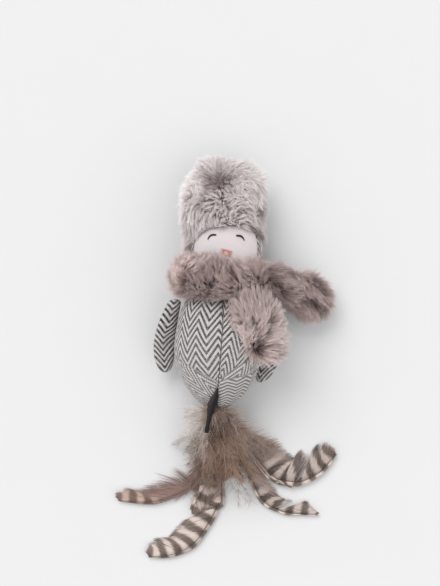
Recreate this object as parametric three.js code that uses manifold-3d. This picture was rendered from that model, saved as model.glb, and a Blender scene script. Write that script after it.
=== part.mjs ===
// A plush winter bird for a cat: a stuffed herringbone body with a white face, a tall fur hat, a
// fur scarf with two loose ends, two wings, and a tail of down and barred feathers.
// Inside it are the wadding, a catnip pouch, a crinkle film and a rattle with three pellets.
//
// Millimetres. The bird lies on its back: +Y runs from tail to hat and +Z from back to face.
// The origin is the middle of the small flat on which the body's back rests.

import * as THREE from "three";
import { mergeVertices } from "three/addons/utils/BufferGeometryUtils.js";
import Module from "manifold-3d";

const wasm = await Module();
wasm.setup();

// driving dimensions
const GAP = 0.4; // between pieces that touch
const FLOOR_CUT = 0.5; // how far the rounded forms are flattened where they rest
const CLOTH = 1.2; // tweed or fleece with its backing
const AXIS_Z = 22; // height of the body's long axis above the floor

const BODY = {
  depthRatio: 0.879, // front to back over side to side
  // Radius and place along Y of the side outline, from the tail opening to the neck.
  outline: [[3, -33.4], [8.4, -31], [14.4, -25.6], [20.6, -17], [24.8, -6], [25.7, 3], [25.1, 13], [22.9, 22], [18.8, 29], [13, 34.4]],
  rows: 14,
  seamDip: 0.9,
  seamWidth: 1.6,
};

const HEAD = {
  centre: [1.8, 57, AXIS_Z],
  radii: [20.5, 24, 19],
  faceFrom: 30, // latitude in degrees at which the white face is set into the hood
  neckY: 35.3,
};

const FACE = {
  eyeApart: 15.9,
  eyeY: 64.1,
  eyeHalfWidth: 2.9,
  eyeRise: 1.9,
  eyeTilt: 20, // degrees that each arc drops to the outside
  threadRadius: 0.45,
  beak: [2.5, 56.3],
  beakTop: 6,
  beakFoot: 2.4,
  beakHeight: 5.2,
  threadLift: 0.5,
};

const HAT = {
  // Radius and place along Y of the fur's outer surface, from the crown to the hem.
  outline: [[0, 110.6], [7, 109.9], [13.4, 107], [19.2, 101.6], [22.8, 95.4], [24.8, 86], [25, 77], [24.2, 67], [22.6, 59], [21.2, 53.6]],
  centreX: 0,
  depthRatio: 0.9,
  gather: [-3.9, 94.6], // where the crown is pinched in
  gatherDepth: 2.2,
  gatherRadius: 6.5,
  windowCentre: [2, 50],
  windowRadii: [18.5, 20.2],
  windowPower: 3, // a superellipse: 2 is an ellipse, more is squarer
  fillCentre: [0.6, 83, AXIS_Z],
  fillRadii: [18.4, 21.5, 16.6],
};

const COLLAR = {
  centreY: 40,
  ring: 18.5,
  sectionRadii: [11.6, 13.3],
  depthRatio: 0.88,
  sideFlatX: 24.8, // where the side end is sewn on
  sideFlatLow: 14,
  frontFlatY: 31.3, // where the front end is sewn on
  frontFlatLeft: 3,
  frontFlatLow: 30,
  frontHinge: [30.8, 52.5], // Y and Z of the stitches at the top of the front end, about which it lifts
  frontLift: [0, 9, 18, 27, 36, 45], // degrees of the lift at which the front end has to clear the body
};

// Stations of the two loose scarf ends: place along the end, centre across it, and half sizes.
const SIDE_END = [
  [25.3, 40.6, 30, 10.4, 11.5],
  [33, 39.2, 27, 11.6, 11.6],
  [42, 35.8, 20.6, 13.6, 11.8],
  [52, 32.8, 15, 14.6, 12],
  [60, 31.5, 12.4, 13.4, 11.4],
  [65, 30.8, 11.6, 9.6, 8.6],
  [67.4, 30.5, 11.4, 4.2, 4],
];
const FRONT_END = [
  [30.8, 17, 43, 10, 9.5],
  [24, 19.5, 42.5, 14.3, 10],
  [12, 23, 41, 15.4, 10.4],
  [2, 26, 39.5, 13.4, 9.8],
  [-4.4, 27.4, 38.6, 8.8, 7.2],
  [-7.4, 27.9, 38.2, 3.6, 3.2],
];

const WING = {
  halfWidth: 6.1,
  halfThickness: 3.2,
  rootRadius: 3.2,
  lip: 0.45, // thickness of the seam lip round the edge
  outline: [[0, 3.1], [0.2, 4.2], [0.42, 5.5], [0.64, 6.1], [0.82, 5.2], [0.93, 3.6], [0.985, 1.8], [1, 0.4]],
  rings: 12,
  seat: 4.2, // radius of the hollow in the collar in which a wing's root turns
};
// Root and tip of each wing, how far it bows out to the side and how it leans towards the floor,
// for the bird's own right (-X) and left (+X).
const WINGS = {
  wing_right: { root: [-24.6, 28.2, 23], tip: [-31.4, -14.4, 12], bow: -3.6, lean: 24 },
  wing_left: { root: [24.2, 27.6, 21], tip: [24.6, -18.4, 9], bow: 5.4, lean: -24 },
};

const TAIL = {
  pivot: [0, -33.6],
  swing: 12, // degrees to either side, for the room the down keeps from the body
  stemRadius: 1.7, // the gathered quills inside the body's tail opening
  stemTop: -30.6,
  stemRoom: 2.9,
  rootRadius: 7.4, // where the quills leave the binding
  bindingFan: [-49, 59], // degrees from -Y, towards -X and +X
  bindingHalfDepth: 1.5,
  bindingBevel: 0.7,
  floorZ: 2.4,
  rise: 19.6, // how far the roots stand above the resting height of the tips
  riseLength: 10,
  layer: 1.7,
};

// Each feather: the angle at which its quill leaves the binding, the place of its tip, how far the
// quill bends sideways, half widths of the vane on either side, where the vane starts along the
// quill, the splits in the vane (place along the quill and side), and the layer it lies in.
const FEATHERS = {
  feather_far_right: { angle: -40, tip: [-54.6, -86.9], bend: 9, vane: [8.6, 4.4], from: 0.36, splits: [[0.72, -1]], layer: 0 },
  feather_low_right: { angle: -21, tip: [-37.5, -118.8], bend: 7, vane: [9.6, 4.6], from: 0.32, splits: [[0.5, -1], [0.7, 1]], layer: 0 },
  feather_short: { angle: -4, tip: [-15.5, -92], bend: 2, vane: [5.8, 4.8], from: 0.4, splits: [[0.78, 1]], layer: 1 },
  feather_low_left: { angle: 16, tip: [59.6, -92], bend: -13, vane: [4.6, 6.6], from: 0.4, splits: [[0.66, 1]], layer: 0 },
  feather_slim: { angle: 34, tip: [46.4, -76.4], bend: -5, vane: [1.8, 2], from: 0.45, splits: [], layer: 1 },
  feather_far_left: { angle: 50, tip: [71.2, -51.2], bend: -9, vane: [8.4, 10.2], from: 0.34, splits: [[0.55, 1], [0.72, 1]], layer: 0 },
};
const QUILL = {
  rootRadius: 0.7,
  tipRadius: 0.3,
  vaneThickness: 0.5,
  camber: 1.1,
  stations: 15,
  // Share of the vane's half width at shares of the way along it.
  leaf: [[0, 0.1], [0.12, 0.75], [0.32, 1], [0.55, 0.9], [0.78, 0.62], [0.93, 0.34], [1, 0.06]],
};

const DOWN = {
  frontCentre: [4, -56, 16.5],
  frontRadii: [22.5, 28, 13.6],
  backCentre: [4, -57, 7],
  backRadii: [20.5, 22, 7.4],
  lump: 0.09, // share of the radius by which the tufts swell and sink
  clearance: 2.4, // from the quills that swing between its halves
  bodyClearance: 2,
};

const TAB = {
  // Place of the middle of the strip and its half width, from the seam to its free end.
  stations: [[-0.4, -21.6, 0.7], [-1.2, -25.2, 1.9], [-2, -28.8, 2.3], [-3, -33.4, 1.6], [-3.8, -38, 1.3], [-4.4, -43, 1.3], [-4.7, -47, 1.2]],
  heights: [38.4, 36.4, 34.6, 33, 32.2, 31.8, 31.6],
  thickness: 0.9,
};

const POUCH = { centre: [-7, 3, 27.4], halfSize: [10.5, 14.5], halfThickness: 3.6, roomBelow: 4 };
const FILM = { centre: [0, -1, AXIS_Z], size: [31, 40], thickness: 0.35, crease: 0.45, cells: [8, 10] };
const RATTLE = { centre: [6, -5, 15.2], radius: 8, height: 9.6, wall: 1.1, lip: 2, pellet: 1.5, pelletRing: 3.1 };
const PELLETS = 3;

// materials
const material = (color, roughness, metalness = 0) => new THREE.MeshStandardMaterial({ color, roughness, metalness });
const TWEED = material(0xa8a5a5, 0.95);
const FLEECE = material(0xddd1d0, 0.9);
const HAT_FUR = material(0xb6a9a8, 1);
const SCARF_FUR = material(0x8a7472, 1);
const DOWN_TUFT = material(0x8a7264, 1);
const VANE = material(0xa39087, 0.8);
const SUEDE = material(0x3a2825, 0.95);
const EYE_THREAD = material(0x2f2d30, 0.6);
const BEAK_THREAD = material(0xd9826d, 0.6);
const BEAK_FILL = material(0xdcb9a6, 0.7);
const BINDING_THREAD = material(0x5a463c, 0.8);
const WADDING = material(0xf0f0ec, 1);
const COTTON = material(0xd9cdb4, 0.95);
const FILM_PLASTIC = material(0xd6dadd, 0.25);
const CASE_PLASTIC = material(0xe6e4dc, 0.4);
const PELLET_PLASTIC = material(0xc24a35, 0.35);

// solids
function solidOf(geometry) {
  const bare = geometry.clone();
  bare.deleteAttribute("normal");
  bare.deleteAttribute("uv");
  const merged = mergeVertices(bare, 1e-3);
  return new wasm.Manifold(
    new wasm.Mesh({
      numProp: 3,
      vertProperties: new Float32Array(merged.attributes.position.array),
      triVerts: new Uint32Array(merged.index.array),
    }),
  );
}

function geometryOf(solid) {
  const mesh = solid.getMesh();
  const geometry = new THREE.BufferGeometry();
  geometry.setAttribute("position", new THREE.BufferAttribute(new Float32Array(mesh.vertProperties), 3));
  geometry.setIndex(new THREE.BufferAttribute(new Uint32Array(mesh.triVerts), 1));
  geometry.computeVertexNormals();
  return geometry;
}

// The geometry less each of the cutters.
function cut(geometry, ...cutters) {
  return geometryOf(cutters.reduce((solid, cutter) => solid.subtract(solidOf(cutter)), solidOf(geometry)));
}

const common = (a, b) => geometryOf(solidOf(a).intersect(solidOf(b)));

function block(low, high) {
  const size = high.map((value, k) => value - low[k]);
  return new THREE.BoxGeometry(...size).translate(...low.map((value, k) => value + size[k] / 2));
}

const FAR = 300;
const below = (z) => block([-FAR, -FAR, -FAR], [FAR, FAR, z]);
const above = (z) => block([-FAR, -FAR, z], [FAR, FAR, FAR]);
const behind = (y) => block([-FAR, -FAR, -FAR], [FAR, y, FAR]);

function ellipsoid(centre, radii, around = 20, up = 12) {
  return new THREE.SphereGeometry(1, around, up).scale(...radii).translate(...centre);
}

// A closed solid through rings of equally many points, with a flat fan on each end.
function loft(rings) {
  const count = rings[0].length;
  const points = rings.flat();
  const index = [];
  for (let i = 0; i + 1 < rings.length; i++) {
    for (let j = 0; j < count; j++) {
      const k = (j + 1) % count;
      const [a, b, c, d] = [i * count + j, i * count + k, (i + 1) * count + j, (i + 1) * count + k];
      index.push(a, b, c, b, d, c);
    }
  }
  for (const [ring, start, turned] of [[rings[0], 0, true], [rings.at(-1), (rings.length - 1) * count, false]]) {
    const middle = ring.reduce((sum, p) => sum.add(p), new THREE.Vector3()).divideScalar(count);
    points.push(middle);
    for (let j = 0; j < count; j++) {
      const [a, b] = [start + j, start + ((j + 1) % count)];
      index.push(points.length - 1, ...(turned ? [b, a] : [a, b]));
    }
  }
  const geometry = new THREE.BufferGeometry().setFromPoints(points).setIndex(index);
  if (solidOf(geometry).volume() < 0) geometry.setIndex(index.toReversed());
  return geometry;
}

// A closed solid between an outer and an inner patch, each a function of a column and a row.
function patchSolid(outer, inner, columns, rows) {
  const points = [];
  const at = (side, i, j) => (side * (rows + 1) + j) * (columns + 1) + i;
  for (const face of [outer, inner]) {
    for (let j = 0; j <= rows; j++) for (let i = 0; i <= columns; i++) points.push(face(i / columns, j / rows));
  }
  const index = [];
  const quad = (a, b, c, d) => index.push(a, b, c, a, c, d);
  for (let j = 0; j < rows; j++) {
    for (let i = 0; i < columns; i++) {
      quad(at(0, i, j), at(0, i, j + 1), at(0, i + 1, j + 1), at(0, i + 1, j));
      quad(at(1, i, j), at(1, i + 1, j), at(1, i + 1, j + 1), at(1, i, j + 1));
    }
  }
  for (let i = 0; i < columns; i++) {
    quad(at(0, i, 0), at(0, i + 1, 0), at(1, i + 1, 0), at(1, i, 0));
    quad(at(0, i + 1, rows), at(0, i, rows), at(1, i, rows), at(1, i + 1, rows));
  }
  for (let j = 0; j < rows; j++) {
    quad(at(0, 0, j + 1), at(0, 0, j), at(1, 0, j), at(1, 0, j + 1));
    quad(at(0, columns, j), at(0, columns, j + 1), at(1, columns, j + 1), at(1, columns, j));
  }
  const geometry = new THREE.BufferGeometry().setFromPoints(points).setIndex(index);
  if (solidOf(geometry).volume() < 0) geometry.setIndex(index.toReversed());
  return geometry;
}

const splineThrough = (pairs) => new THREE.SplineCurve(pairs.map((pair) => new THREE.Vector2(...pair)));

// body
const bodyOutline = splineThrough(BODY.outline);

// A point of the body's side outline, moved inwards by inset.
function outlinePoint(along, inset) {
  const point = bodyOutline.getPoint(along);
  const tangent = bodyOutline.getTangent(along);
  return new THREE.Vector2(point.x - inset * tangent.y, point.y + inset * tangent.x);
}

// The sewn panels: the angles between which each one lies (0 is +X, 90 is the front) and its columns.
const PANELS = {
  body_front_left: [0, 90, 8],
  body_front_right: [90, 180, 8],
  body_back: [180, 360, 14],
};

// The angle at a share of the way across a panel, closer together towards its seams.
function panelAngle([fromDegrees, toDegrees], across, radius) {
  const [from, to] = [fromDegrees, toDegrees].map(THREE.MathUtils.degToRad);
  const margin = GAP / 2 / Math.max(radius, 1);
  return from + margin + (to - from - 2 * margin) * (1 - Math.cos(Math.PI * across)) * 0.5;
}

// A point of the body at an angle; the cloth turns in at the seams.
function bodyPoint(panel, across, along, inset) {
  const p = outlinePoint(along, inset);
  const angle = panelAngle(panel, across, p.x);
  const [from, to] = panel.map(THREE.MathUtils.degToRad);
  const toSeam = Math.min(angle - from, to - angle) * p.x;
  const radius = p.x - Math.min(BODY.seamDip, p.x / 8) * Math.exp(-((toSeam / BODY.seamWidth) ** 2));
  return new THREE.Vector3(radius * Math.cos(angle), p.y, AXIS_Z + radius * Math.sin(angle) * BODY.depthRatio);
}

function bodyPanel(name) {
  const panel = PANELS[name];
  const face = (inset) => (across, along) => bodyPoint(panel, across, along, inset);
  return patchSolid(face(0), face(CLOTH), panel[2], BODY.rows);
}

// The whole body as one solid, its outline moved inwards by inset.
function bodyForm(inset) {
  return loft(
    Array.from({ length: BODY.rows + 1 }, (_, j) =>
      Object.values(PANELS).flatMap((panel) =>
        Array.from({ length: panel[2] + 1 }, (_, i) => bodyPoint(panel, i / panel[2], j / BODY.rows, inset)),
      ),
    ),
  );
}

// head
// A bowl of cloth on the head's ellipsoid, between two latitudes about the Z axis.
function headShell(fromDegrees, toDegrees, rows) {
  const [rx, ry, rz] = HEAD.radii;
  const arc = (inset) =>
    Array.from({ length: rows + 1 }, (_, i) => {
      const angle = THREE.MathUtils.degToRad(fromDegrees + ((toDegrees - fromDegrees) * i) / rows);
      const reach = Math.abs(angle) > Math.PI / 2 - 1e-6 ? 0 : Math.cos(angle);
      return new THREE.Vector2((rx - inset) * reach, (rz - inset) * Math.sin(angle));
    });
  const profile = [...arc(0), ...arc(CLOTH).reverse()];
  if (profile[0].x > 0 || profile.at(-1).x > 0) {
    if (toDegrees < 90) throw new Error("a head shell has to reach a pole");
    profile.push(profile[0].clone());
  }
  return new THREE.LatheGeometry(profile, 26)
    .rotateX(Math.PI / 2)
    .scale(1, ry / rx, 1)
    .translate(...HEAD.centre);
}

function headForm(grow, around = 28) {
  return ellipsoid(HEAD.centre, HEAD.radii.map((radius) => radius + grow), around, Math.round(around * 0.58));
}

// Height of the face's surface above the floor.
function faceZ(x, y) {
  const [cx, cy, cz] = HEAD.centre;
  const [rx, ry, rz] = HEAD.radii;
  return cz + rz * Math.sqrt(Math.max(0, 1 - ((x - cx) / rx) ** 2 - ((y - cy) / ry) ** 2));
}

// Lays a flat embroidered shape on the face.
function onFace(geometry) {
  const place = geometry.getAttribute("position");
  for (let i = 0; i < place.count; i++) {
    place.setZ(i, place.getZ(i) + faceZ(place.getX(i), place.getY(i)) + FACE.threadLift);
  }
  return geometry;
}

// A closed, smiling eye: a rounded line of satin stitch, thicker in the middle.
function eye(side) {
  const steps = 10;
  const sides = 6;
  const middle = HEAD.centre[0] + (side * FACE.eyeApart) / 2;
  const tilt = THREE.MathUtils.degToRad(-side * FACE.eyeTilt);
  const rings = Array.from({ length: steps + 1 }, (_, i) => {
    const share = (2 * i) / steps - 1;
    const [x, y] = [share * FACE.eyeHalfWidth, FACE.eyeRise * (1 - share * share)];
    const centre = new THREE.Vector2(x, y).rotateAround(new THREE.Vector2(), tilt);
    const heading = Math.atan2((-2 * FACE.eyeRise * share) / FACE.eyeHalfWidth, 1) + tilt;
    const radius = FACE.threadRadius * (0.55 + 0.45 * Math.cos((share * Math.PI) / 2));
    return Array.from({ length: sides }, (_, j) => {
      const angle = (2 * Math.PI * j) / sides;
      const across = radius * Math.cos(angle);
      const px = middle + centre.x - across * Math.sin(heading);
      const py = FACE.eyeY + centre.y + across * Math.cos(heading);
      return new THREE.Vector3(px, py, faceZ(px, py) + FACE.threadLift + radius * (Math.sin(angle) * 0.7));
    });
  });
  return loft(rings);
}

// The beak's outline, grown outwards by margin: a wide top, slanting sides and a narrow foot.
function beakShape(margin, PathClass = THREE.Shape) {
  const [x, y] = FACE.beak;
  const [top, foot, half] = [FACE.beakTop / 2 + margin, FACE.beakFoot / 2 + margin, FACE.beakHeight / 2 + margin];
  return new PathClass([
    new THREE.Vector2(x - top, y + half),
    new THREE.Vector2(x - foot, y - half),
    new THREE.Vector2(x + foot, y - half),
    new THREE.Vector2(x + top, y + half),
  ]);
}

function beakFill() {
  return onFace(new THREE.ExtrudeGeometry(beakShape(-0.9), { depth: 0.5, bevelEnabled: false }));
}

function beakOutline() {
  const ring = beakShape(0);
  ring.holes.push(beakShape(-0.7, THREE.Path));
  return onFace(new THREE.ExtrudeGeometry(ring, { depth: 0.8, bevelEnabled: false }));
}

// hat
function hatForm() {
  const side = splineThrough(HAT.outline).getPoints(13);
  const profile = [...side.reverse().map((p) => new THREE.Vector2(Math.max(p.x, 0), p.y))];
  profile.unshift(new THREE.Vector2(0, profile[0].y));
  profile[profile.length - 1].x = 0;
  const form = new THREE.LatheGeometry(profile, 28)
    .scale(1, 1, HAT.depthRatio)
    .translate(HAT.centreX, 0, AXIS_Z);
  const place = form.getAttribute("position");
  for (let i = 0; i < place.count; i++) {
    const [x, y, z] = [place.getX(i), place.getY(i), place.getZ(i)];
    if (z <= AXIS_Z) continue;
    const away = Math.hypot(x - HAT.gather[0], y - HAT.gather[1]) / HAT.gatherRadius;
    place.setZ(i, z - HAT.gatherDepth * Math.exp(-away * away) * Math.min(1, (z - AXIS_Z) / 8));
  }
  return form;
}

// The opening in the hat's front through which the face looks out.
function faceWindow() {
  const steps = 28;
  const outline = Array.from({ length: steps }, (_, i) => {
    const angle = (2 * Math.PI * i) / steps;
    const reach = (value) => Math.sign(value) * Math.abs(value) ** (2 / HAT.windowPower);
    return new THREE.Vector2(
      HAT.windowCentre[0] + HAT.windowRadii[0] * reach(Math.cos(angle)),
      HAT.windowCentre[1] + HAT.windowRadii[1] * reach(Math.sin(angle)),
    );
  });
  return new THREE.ExtrudeGeometry(new THREE.Shape(outline), { depth: FAR, bevelEnabled: false }).translate(0, 0, AXIS_Z + 4);
}

const hatFill = (grow) => ellipsoid(HAT.fillCentre, HAT.fillRadii.map((radius) => radius + grow), 18, 10);

// scarf
function collarForm() {
  const steps = 12;
  const [across, along] = COLLAR.sectionRadii;
  const section = Array.from({ length: steps + 1 }, (_, i) => {
    const angle = (2 * Math.PI * (i % steps)) / steps;
    return new THREE.Vector2(COLLAR.ring + across * Math.cos(angle), COLLAR.centreY + along * Math.sin(angle));
  });
  const halfDepth = (COLLAR.ring + across) * COLLAR.depthRatio;
  return new THREE.LatheGeometry(section, 28).scale(1, 1, COLLAR.depthRatio).translate(0, 0, halfDepth - FLOOR_CUT);
}

// A loose end with oval sections: place(along, across, up) turns a section's numbers into a point.
function scarfEnd(stations, place) {
  const steps = 12;
  const sides = 14;
  const smooth = new THREE.CatmullRomCurve3(stations.map(([s, a, b]) => new THREE.Vector3(s, a, b)));
  const sizes = new THREE.CatmullRomCurve3(stations.map(([, , , a, b]) => new THREE.Vector3(a, b, 0)));
  return loft(
    Array.from({ length: steps + 1 }, (_, i) => {
      const centre = smooth.getPoint(i / steps);
      const half = sizes.getPoint(i / steps);
      return Array.from({ length: sides }, (_, j) => {
        const angle = (2 * Math.PI * j) / sides;
        return place(centre.x, centre.y + half.x * Math.cos(angle), centre.z + half.y * Math.sin(angle));
      });
    }),
  );
}

// The body with a little room, as the front end meets it when it is lifted.
const liftedBodies = () =>
  COLLAR.frontLift.map((degrees) => {
    const [y, z] = COLLAR.frontHinge;
    return bodyForm(-1).translate(0, -y, -z).rotateX(THREE.MathUtils.degToRad(degrees)).translate(0, y, z);
  });

// wings
// Half of a wing, in front of its seam (side 1) or behind it (side -1).
function wingHalf({ root, tip, bow, lean }, side) {
  const [from, to] = [new THREE.Vector3(...root), new THREE.Vector3(...tip)];
  const leaf = splineThrough(WING.outline);
  const across = new THREE.Vector3(1, 0, 0).applyAxisAngle(new THREE.Vector3(0, 1, 0), THREE.MathUtils.degToRad(lean));
  const out = new THREE.Vector3(-across.z, 0, across.x);
  const nose = [0.02, 0.5, 0.87].map((share) => [-share, Math.sqrt(1 - share * share) * WING.outline[0][1]]);
  const blade = Array.from({ length: WING.rings + 1 }, (_, i) => leaf.getPoint(i / WING.rings).toArray());
  const length = from.distanceTo(to);
  const stations = [...nose.map(([back, half]) => [(back * WING.rootRadius) / length, half]).reverse(), ...blade];
  const rings = stations.map(([share, half]) => {
    const thick = Math.max(WING.lip, WING.halfThickness * Math.min(1, (half / WING.halfWidth) * 1.2));
    const centre = from.clone().lerp(to, share);
    centre.x += bow * Math.sin(Math.PI * THREE.MathUtils.clamp(share, 0, 1));
    const lip = WING.lip;
    const section = [[-1, 0], [-1, lip], [-0.8, 0.62 * thick], [-0.36, 0.95 * thick], [0.36, 0.95 * thick], [0.8, 0.62 * thick], [1, lip], [1, 0]];
    return section.map(([sideways, up]) =>
      centre.clone().addScaledVector(across, sideways * half).addScaledVector(out, side * (up + GAP / 3)),
    );
  });
  return loft(rings);
}

// The hollows in the collar in which the wings' roots turn.
const wingSeats = () =>
  Object.values(WINGS).map(({ root }) =>
    new THREE.CylinderGeometry(WING.seat, WING.seat, 2 * (WING.halfThickness + 2), 18).rotateX(Math.PI / 2).translate(...root),
  );

// tail
const radians = THREE.MathUtils.degToRad;
const fanPoint = (degrees, radius) => [
  TAIL.pivot[0] + radius * Math.sin(radians(degrees)),
  TAIL.pivot[1] - radius * Math.cos(radians(degrees)),
];

// Height of a quill's middle at a distance from the tail's pivot.
function quillHeight(distance, layer) {
  const fall = Math.exp(-Math.max(0, distance - TAIL.rootRadius) / TAIL.riseLength);
  return TAIL.floorZ + TAIL.rise * fall + TAIL.layer * layer * (1 - fall);
}

// The whipped thread that gathers the quills: a stem in the tail opening that spreads into a fan.
function binding() {
  const [low, high] = TAIL.bindingFan;
  const inner = TAIL.rootRadius - GAP - TAIL.bindingBevel;
  const arc = Array.from({ length: 9 }, (_, i) => new THREE.Vector2(...fanPoint(low + ((high - low) * i) / 8, inner)));
  const [x, y] = TAIL.pivot;
  const neck = [new THREE.Vector2(x + TAIL.stemRadius, y - 1.6), new THREE.Vector2(x - TAIL.stemRadius, y - 1.6)];
  const fan = new THREE.ExtrudeGeometry(new THREE.Shape([...arc, ...neck]), {
    depth: 2 * (TAIL.bindingHalfDepth - TAIL.bindingBevel),
    bevelThickness: TAIL.bindingBevel,
    bevelSize: TAIL.bindingBevel * 0.6,
    bevelSegments: 2,
  }).translate(0, 0, AXIS_Z - TAIL.bindingHalfDepth + TAIL.bindingBevel);
  const stem = new THREE.CylinderGeometry(TAIL.stemRadius, TAIL.stemRadius, TAIL.stemTop - y + 2.4, 14)
    .translate(x, (TAIL.stemTop + y - 2.4) / 2, AXIS_Z);
  return geometryOf(solidOf(fan).add(solidOf(stem)));
}

// The room in the wadding in which the stem swings.
const stemRoom = () => new THREE.CylinderGeometry(TAIL.stemRoom, TAIL.stemRoom, 12, 14).translate(0, TAIL.stemTop - 4, AXIS_Z);

// The body with room around it, turned to both ends of the tail's swing and the middle.
const bodyRooms = () =>
  [-TAIL.swing, 0, TAIL.swing].map((degrees) => {
    const [x, y] = TAIL.pivot;
    return bodyForm(-DOWN.bodyClearance).translate(-x, -y, 0).rotateZ(radians(degrees)).translate(x, y, 0);
  });

// A feather: a tapering quill that curves in plan and lies down on the floor, with a cambered vane
// on each side, wider in the middle and parted at its splits.
function feather({ angle, tip, bend, vane, from, splits, layer }) {
  const root = new THREE.Vector2(...fanPoint(angle, TAIL.rootRadius));
  const end = new THREE.Vector2(...tip);
  const way = end.clone().sub(root);
  const side = new THREE.Vector2(-way.y, way.x).normalize();
  const leaving = new THREE.Vector2(...fanPoint(angle, TAIL.rootRadius + way.length() * 0.3));
  const plan = new THREE.CubicBezierCurve(root, leaving, root.clone().lerp(end, 0.62).addScaledVector(side, bend), end);
  const leaf = splineThrough(QUILL.leaf);
  const even = Array.from({ length: QUILL.stations + 1 }, (_, i) => i / QUILL.stations);
  const parted = splits.flatMap(([at]) => [at - 0.015, at, at + 0.015]);
  const stations = [...even.filter((t) => splits.every(([at]) => Math.abs(t - at) > 0.03)), ...parted].sort((a, b) => a - b);
  const rings = stations.map((t) => {
    const p = plan.getPoint(t);
    const heading = plan.getTangent(t);
    const across = new THREE.Vector2(-heading.y, heading.x);
    const grown = Math.max(0, (t - from) / (1 - from));
    const fullness = grown > 0 ? leaf.getPoint(grown).y : 0;
    const quill = THREE.MathUtils.lerp(QUILL.rootRadius, QUILL.tipRadius, t);
    const z = quillHeight(Math.hypot(p.x - TAIL.pivot[0], p.y - TAIL.pivot[1]), layer);
    const reach = [-1, 1].map((s, k) => {
      const parting = splits.some(([at, where]) => where === s && t === at) ? 0.35 : 1;
      return Math.max(quill * 1.3, vane[k] * fullness * parting);
    });
    const thin = Math.min(quill, QUILL.vaneThickness / 2);
    const section = [[-reach[0], thin * 0.6], [-reach[0] * 0.5, thin], [0, quill], [reach[1] * 0.5, thin], [reach[1], thin * 0.6], [reach[1] * 0.5, -thin], [0, -quill], [-reach[0] * 0.5, -thin]];
    return section.map(([u, v]) => {
      const sag = QUILL.camber * (u / 8) ** 2 * fullness;
      return new THREE.Vector3(p.x + across.x * u, p.y + across.y * u, z + v - sag);
    });
  });
  return loft(rings);
}

// The room that the binding and the quills' roots take in the down.
function bindingRoom() {
  const [x, y] = TAIL.pivot;
  return new THREE.CylinderGeometry(TAIL.rootRadius + 1.2, TAIL.rootRadius + 1.2, 5.4, 20).rotateX(Math.PI / 2).translate(x, y, AXIS_Z);
}

// Down: a rounded cloud whose tufts swell and sink, kept clear of the quills between its halves.
function downCloud(centre, radii, cutters) {
  const form = new THREE.SphereGeometry(1, 24, 14);
  const place = form.getAttribute("position");
  const p = new THREE.Vector3();
  for (let i = 0; i < place.count; i++) {
    p.fromBufferAttribute(place, i);
    const tuft = Math.sin(5 * p.x + 2) * Math.sin(4 * p.y + 1) + 0.6 * Math.sin(9 * p.x - 7 * p.y);
    p.multiplyScalar(1 + DOWN.lump * tuft * (1 - p.z ** 4));
    place.setXYZ(i, p.x, p.y, p.z);
  }
  return cut(form.scale(...radii).translate(...centre), ...cutters);
}

// Everything below (or above) the layer in which the quills swing, about the tail's pivot.
function quillLayer(offset, layer, keepAbove) {
  const steps = 12;
  const reach = 70;
  const top = Array.from({ length: steps + 1 }, (_, i) => {
    const distance = (reach * i) / steps;
    return new THREE.Vector2(distance, quillHeight(distance, layer) + offset);
  });
  const back = keepAbove ? -20 : 80;
  const profile = [new THREE.Vector2(0, back), new THREE.Vector2(reach, back), ...top.reverse()];
  const swept = new THREE.LatheGeometry(keepAbove ? profile : profile.reverse(), 28);
  return swept.rotateX(Math.PI / 2).translate(TAIL.pivot[0], TAIL.pivot[1], 0);
}

// The dark suede strip that is caught in the front seam and hangs over the down.
function tailTab() {
  return loft(
    TAB.stations.map(([x, y, half], i) => {
      const z = TAB.heights[i];
      const section = [[-1, 0], [-0.8, 0.5], [0.8, 0.5], [1, 0], [0.8, -0.5], [-0.8, -0.5]];
      return section.map(([across, up]) => new THREE.Vector3(x + across * half, y, z + up * TAB.thickness));
    }),
  );
}

// what the body holds
// A sewn pouch: a pillow of herb with a flat seam all round.
function pillowFace(side, grow, deeper = 0) {
  const [hx, hy] = POUCH.halfSize.map((half) => half + grow);
  return (u, v) => {
    const [x, y] = [2 * u - 1, 2 * v - 1];
    const full = (1 - x ** 4) * (1 - y ** 4);
    const corner = 1 - 0.07 * (x * y) ** 2;
    const up = side * (0.25 + grow + deeper + POUCH.halfThickness * Math.sqrt(full));
    return new THREE.Vector3(POUCH.centre[0] + x * hx * corner, POUCH.centre[1] + y * hy * corner, POUCH.centre[2] + up);
  };
}

const catnipPouch = () => patchSolid(pillowFace(1, 0), pillowFace(-1, 0), 10, 10);

// The room the pouch takes in the wadding, open towards the film.
const pouchRoom = () => patchSolid(pillowFace(1, GAP), pillowFace(-1, GAP, POUCH.roomBelow), 10, 10);

// A crinkled sheet of film, creased up and down cell by cell.
function crinkleFilm() {
  const [columns, rows] = FILM.cells;
  const crease = (u, v) => ((Math.round(u * columns) + Math.round(v * rows)) % 2 ? 1 : -1) * FILM.crease * Math.sin(7 * u + 5 * v + 1);
  const face = (side) => (u, v) =>
    new THREE.Vector3(
      FILM.centre[0] + (u - 0.5) * FILM.size[0],
      FILM.centre[1] + (v - 0.5) * FILM.size[1],
      FILM.centre[2] + crease(u, v) + (side * FILM.thickness) / 2,
    );
  return patchSolid(face(1), face(-1), columns, rows);
}

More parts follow.
